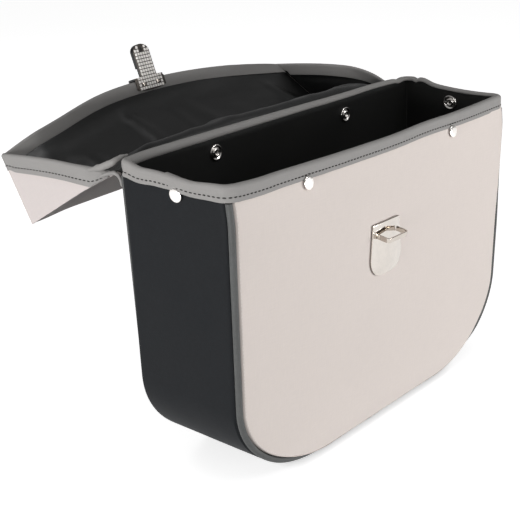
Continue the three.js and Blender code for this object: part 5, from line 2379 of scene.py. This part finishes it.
    def hook(self) -> Shell:
        """Clamp that hooks over the tape.

        Returns:
            Its closed skin.
        """
        face, half = self.face, self.base_width / 2.0
        section = np.array([
            [-self.base_leg, -face - self.outer],
            [-self.base_leg, -face],
            [self.clear, -face],
            [self.clear, face - self.lid.gap],
            [self.lip, face - self.lid.gap],
            [self.lip, -face - self.outer + 0.8],
            [self.lip - 0.8, -face - self.outer],
        ])
        thick_along_x = np.eye(4)[[2, 0, 1, 3]]
        return plate_shell([section[::-1]], -half, half, 0.4).moved(thick_along_x)


@dataclass
class Studio:
    """Camera, floor and soft light."""

    lens: float = 73.75
    sensor: float = 36.0
    azimuth: float = -49.196
    elevation: float = 19.692
    roll: float = -1.430
    place: tuple[float, float, float] = (-832.097, -614.680, 526.645)
    floor_size: float = 60.0
    sky_low: float = 0.12
    sky_high: float = 0.32

    def camera(self) -> None:
        """Make the camera of the photograph's view."""
        data = bpy.data.cameras.new("camera")
        data.lens = self.lens
        data.sensor_width = self.sensor
        turn, rise, roll = (math.radians(angle) for angle in (self.azimuth, self.elevation, self.roll))
        right = np.array([math.cos(turn), math.sin(turn), 0.0])
        level = math.cos(rise)
        ahead = np.array([-math.sin(turn) * level, math.cos(turn) * level, -math.sin(rise)])
        above = np.cross(right, ahead)
        rolled = math.cos(roll) * right + math.sin(roll) * above
        upper = -math.sin(roll) * right + math.cos(roll) * above
        frame = np.eye(4)
        frame[:3, :3] = columns_of(rolled, upper, -ahead)
        frame[:3, 3] = np.array(self.place) * MM
        made = bpy.data.objects.new("camera", data)
        made.matrix_world = Matrix(frame.tolist())
        bpy.context.scene.collection.objects.link(made)
        bpy.context.scene.camera = made

    def floor(self) -> None:
        """Make the pale floor."""
        half = self.floor_size / 2.0
        mesh = bpy.data.meshes.new("floor")
        corners = [(-half, -half, 0.0), (half, -half, 0.0), (half, half, 0.0), (-half, half, 0.0)]
        mesh.from_pydata(corners, [], [[0, 1, 2, 3]])
        mesh.materials.append(FloorFinish("studio_floor", (0.8, 0.8, 0.8), 0.72).build())
        made = bpy.data.objects.new("floor", mesh)
        bpy.context.scene.collection.objects.link(made)
        made.visible_diffuse = False

    def light(
        self, name: str, place: Sequence[float], size: Sequence[float], power: float
    ) -> bpy.types.Object:
        """Add a soft light that faces the bag.

        Args:
            name: Name of the light.
            place: Its place in metres.
            size: Its width and height in metres.
            power: Its power in watts.

        Returns:
            The new light.
        """
        data = bpy.data.lights.new(name, "AREA")
        data.shape = "RECTANGLE"
        data.size, data.size_y = size
        data.energy = power
        made = bpy.data.objects.new(name, data)
        made.location = place
        aim = Vector((0.0, 0.05, 0.2)) - Vector(place)
        made.rotation_euler = aim.to_track_quat("-Z", "Y").to_euler()
        bpy.context.scene.collection.objects.link(made)
        return made

    def build(self) -> None:
        """Make the camera, the floor and the lights."""
        self.camera()
        self.floor()
        self.world()
        self.light("front_light", (0.75, -1.9, 0.17), (1.5, 0.3), 29.0)
        self.light("left_light", (-2.0, 0.05, 0.2), (1.3, 0.4), 34.0)
        back = self.light("back_light", (0.1, 1.7, 1.8), (1.6, 0.9), 8.5)
        back.visible_glossy = False
        self.light("top_light", (-0.4, -1.5, 1.7), (0.9, 0.5), 5.0)
        gloss = self.light("gloss_light", (0.6, -1.18, 1.52), (0.6, 0.4), 9.0)
        gloss.visible_diffuse = False
        bpy.context.scene.view_settings.view_transform = "Standard"

    def world(self) -> None:
        """Make the studio's dim walls, darker below than above."""
        world = bpy.data.worlds.new("studio")
        world.use_nodes = True
        nodes, links = world.node_tree.nodes, world.node_tree.links
        apart = nodes.new("ShaderNodeSeparateXYZ")
        links.new(nodes.new("ShaderNodeTexCoord").outputs["Generated"], apart.inputs[0])
        rise = nodes.new("ShaderNodeMapRange")
        for key, value in ((1, -0.3), (2, 0.4), (3, self.sky_low), (4, self.sky_high)):
            rise.inputs[key].default_value = value
        links.new(apart.outputs["Z"], rise.inputs["Value"])
        background = nodes["Background"]
        background.inputs["Color"].default_value = (1.0, 1.0, 1.0, 1.0)
        links.new(rise.outputs["Result"], background.inputs["Strength"])
        bpy.context.scene.world = world


def main() -> None:
    """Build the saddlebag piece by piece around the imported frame."""
    logging.basicConfig(level=logging.INFO, format="%(message)s")
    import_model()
    Studio().build()
    shop = Workshop()
    bag, lid = BagForm(), LidForm()
    Body(shop, bag).build()
    MouthBinding(shop, bag).build()
    PressStuds(shop, bag).build()
    Keeper(shop, bag).build()
    Lid(shop, lid, bag).build()
    Clasp(shop, lid, bag).build()
    bpy.context.view_layer.update()


if __name__ == "__main__":
    main()
